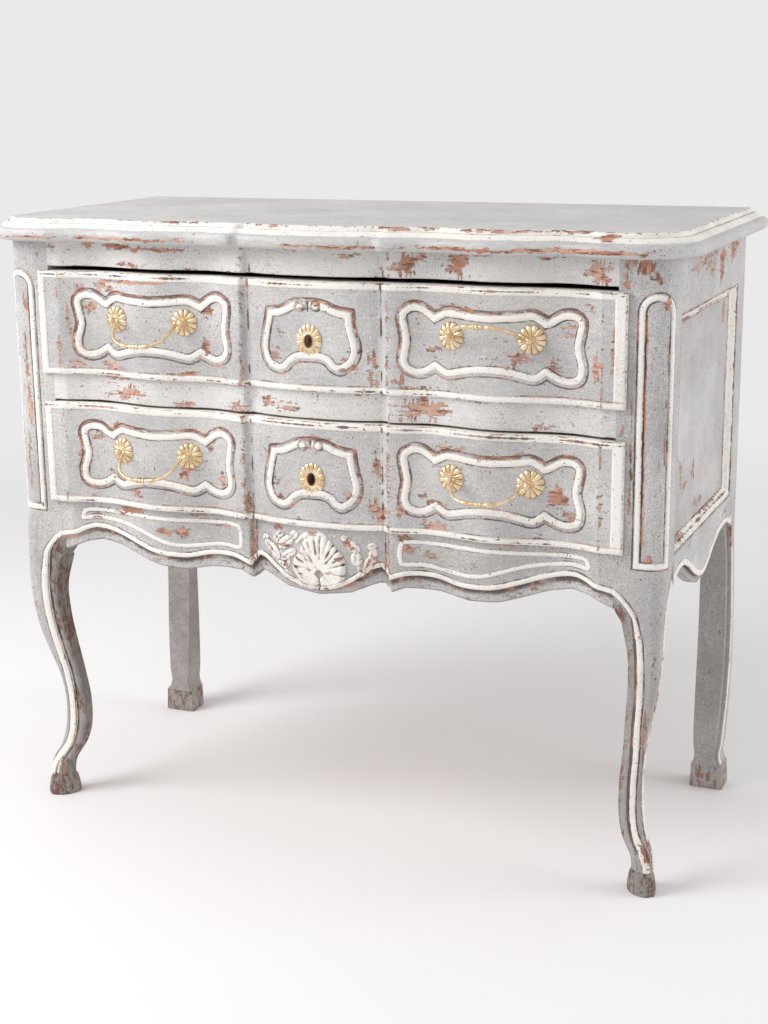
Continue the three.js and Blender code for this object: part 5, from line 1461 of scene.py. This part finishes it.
def bail(x, z, lean):
    """The bent bar with its beads, and a pin turned outwards at each end."""
    samples = np.linspace(0, math.pi, 801)
    cosines, sines = np.cos(samples), np.sin(samples)
    power = 2 / bail_squareness
    wide = bail_half * np.sign(cosines) * np.abs(cosines) ** power
    path = np.stack([wide, -bail_drop * np.abs(sines) ** power], axis=1)
    lengths = np.concatenate([[0], np.cumsum(np.linalg.norm(np.diff(path, axis=0), axis=1))])
    middle = lengths[-1] / 2
    plain_bar = [(beads_end + (middle - beads_end) * k / 22, bar_radius) for k in range(1, 23)]
    half = turned_beads + plain_bar
    places = [(middle - d, r) for d, r in reversed(half[1:])] + [(middle + d, r) for d, r in half]
    rings, deeps = [], []
    for distance, radius in places:
        before, at, after = (
            np.array([np.interp(distance + step, lengths, path[:, k]) for k in (0, 1)])
            for step in (-0.6, 0, 0.6)
        )
        along = (after - before) / max(np.linalg.norm(after - before), 1e-6)
        _, out, forward = turned([(0, radius)], bar_sides)[0].T
        rings.append(np.stack([at[0] - along[1] * out, forward, at[1] + along[0] * out], axis=-1))
        # The necks between the middle beads are darker: painted shade.
        deeps.append([0.5 * (2.2 < radius < 3.0 and abs(distance - middle) < 8)])
    parts = [(rings, deeps)]
    for side in (-1, 1):
        pin = [(side * (bail_half + along), radius) for along, radius in bail_end]
        parts.append((turned(pin, bar_sides), 0))
    points, faces, marks = joined(parts)
    swing = math.radians(-lean)
    across, back, up = points.T
    back, up = back * math.cos(swing) - up * math.sin(swing), back * math.sin(swing) + up * math.cos(swing)
    return np.stack([x + across, pivot_y + back, z + up], axis=-1), faces, marks


bail_lean = {
    "upper_drawer_bail_left": 50, "upper_drawer_bail_right": 117,
    "lower_drawer_bail_left": 50, "lower_drawer_bail_right": 66,
}
for drawer in ("upper_drawer", "lower_drawer"):
    handle_z = front_bottom + handle_rise + drawer_rise[drawer]
    for hand, side in (("left", -1), ("right", 1)):
        for end, offset in (("left", -1), ("right", 1)):
            x = side * handle_x + offset * post_spacing / 2
            bar = turned(ball_and_shank + [(shank_end - pivot_y, 2.5)], 24)[..., [1, 0, 2]]
            points, faces, marks = joined([rosette(x, handle_z), (bar + [x, pivot_y, handle_z], 0)])
            node = f"{drawer}_handle_{hand}_post_{end}"
            skin(node, "cast", points, faces, brass_look, marks, drawer)
        node = f"{drawer}_bail_{hand}"
        points, faces, marks = bail(side * handle_x, handle_z, bail_lean[node])
        skin(node, "bent", points, faces, brass_look, marks, node)


# ---- Keyhole plates: thin cast brass ovals of fourteen petals with a raised rim round the hole,
# pinned on the middle of each drawer front.
plate_width, plate_height = 38.6, 45.6
plate_petals = 14
plate_rise = 71.0
plate_rows = [
    (1.0, 0.0), (1.0, 0.8), (0.94, 1.6), (0.84, 2.3), (0.7, 2.6), (0.58, 2.4), (0.5, 2.5), (0.46, 2.9),
]
hole_width, hole_height = 10.0, 17.0
hole_rows = [(1, 2.6), (1, 0.0)]
plate_face = float(front_y(0)) - 0.3
plate, plate_deep = petalled(plate_rows, plate_petals, 168, 0.5, 0.2, 0.07, 1.1, 0.9, 1)
hole, hole_deep = petalled(hole_rows, plate_petals, 168, 2, 1, 0, 0, 0, 0)
plate_size, hole_size = (plate_width / 2, -1, plate_height / 2), (hole_width / 2, -1, hole_height / 2)
rings = np.concatenate([plate * plate_size, hole * hole_size])
# The hole's inner rim is nearly dark brown: painted shade in the keyhole.
deeps = np.concatenate([plate_deep, hole_deep + 0.9])
rings, deeps = (np.concatenate([rows, rows[:1]]) for rows in (rings, deeps))
for drawer in ("upper_drawer", "lower_drawer"):
    points = (rings + [0, plate_face, front_bottom + plate_rise + drawer_rise[drawer]]).reshape(-1, 3)
    faces = ring_faces(len(rings), rings.shape[1])
    skin(f"{drawer}_escutcheon", "cast", points, faces, brass_look, {"hollow_shade": deeps}, drawer)
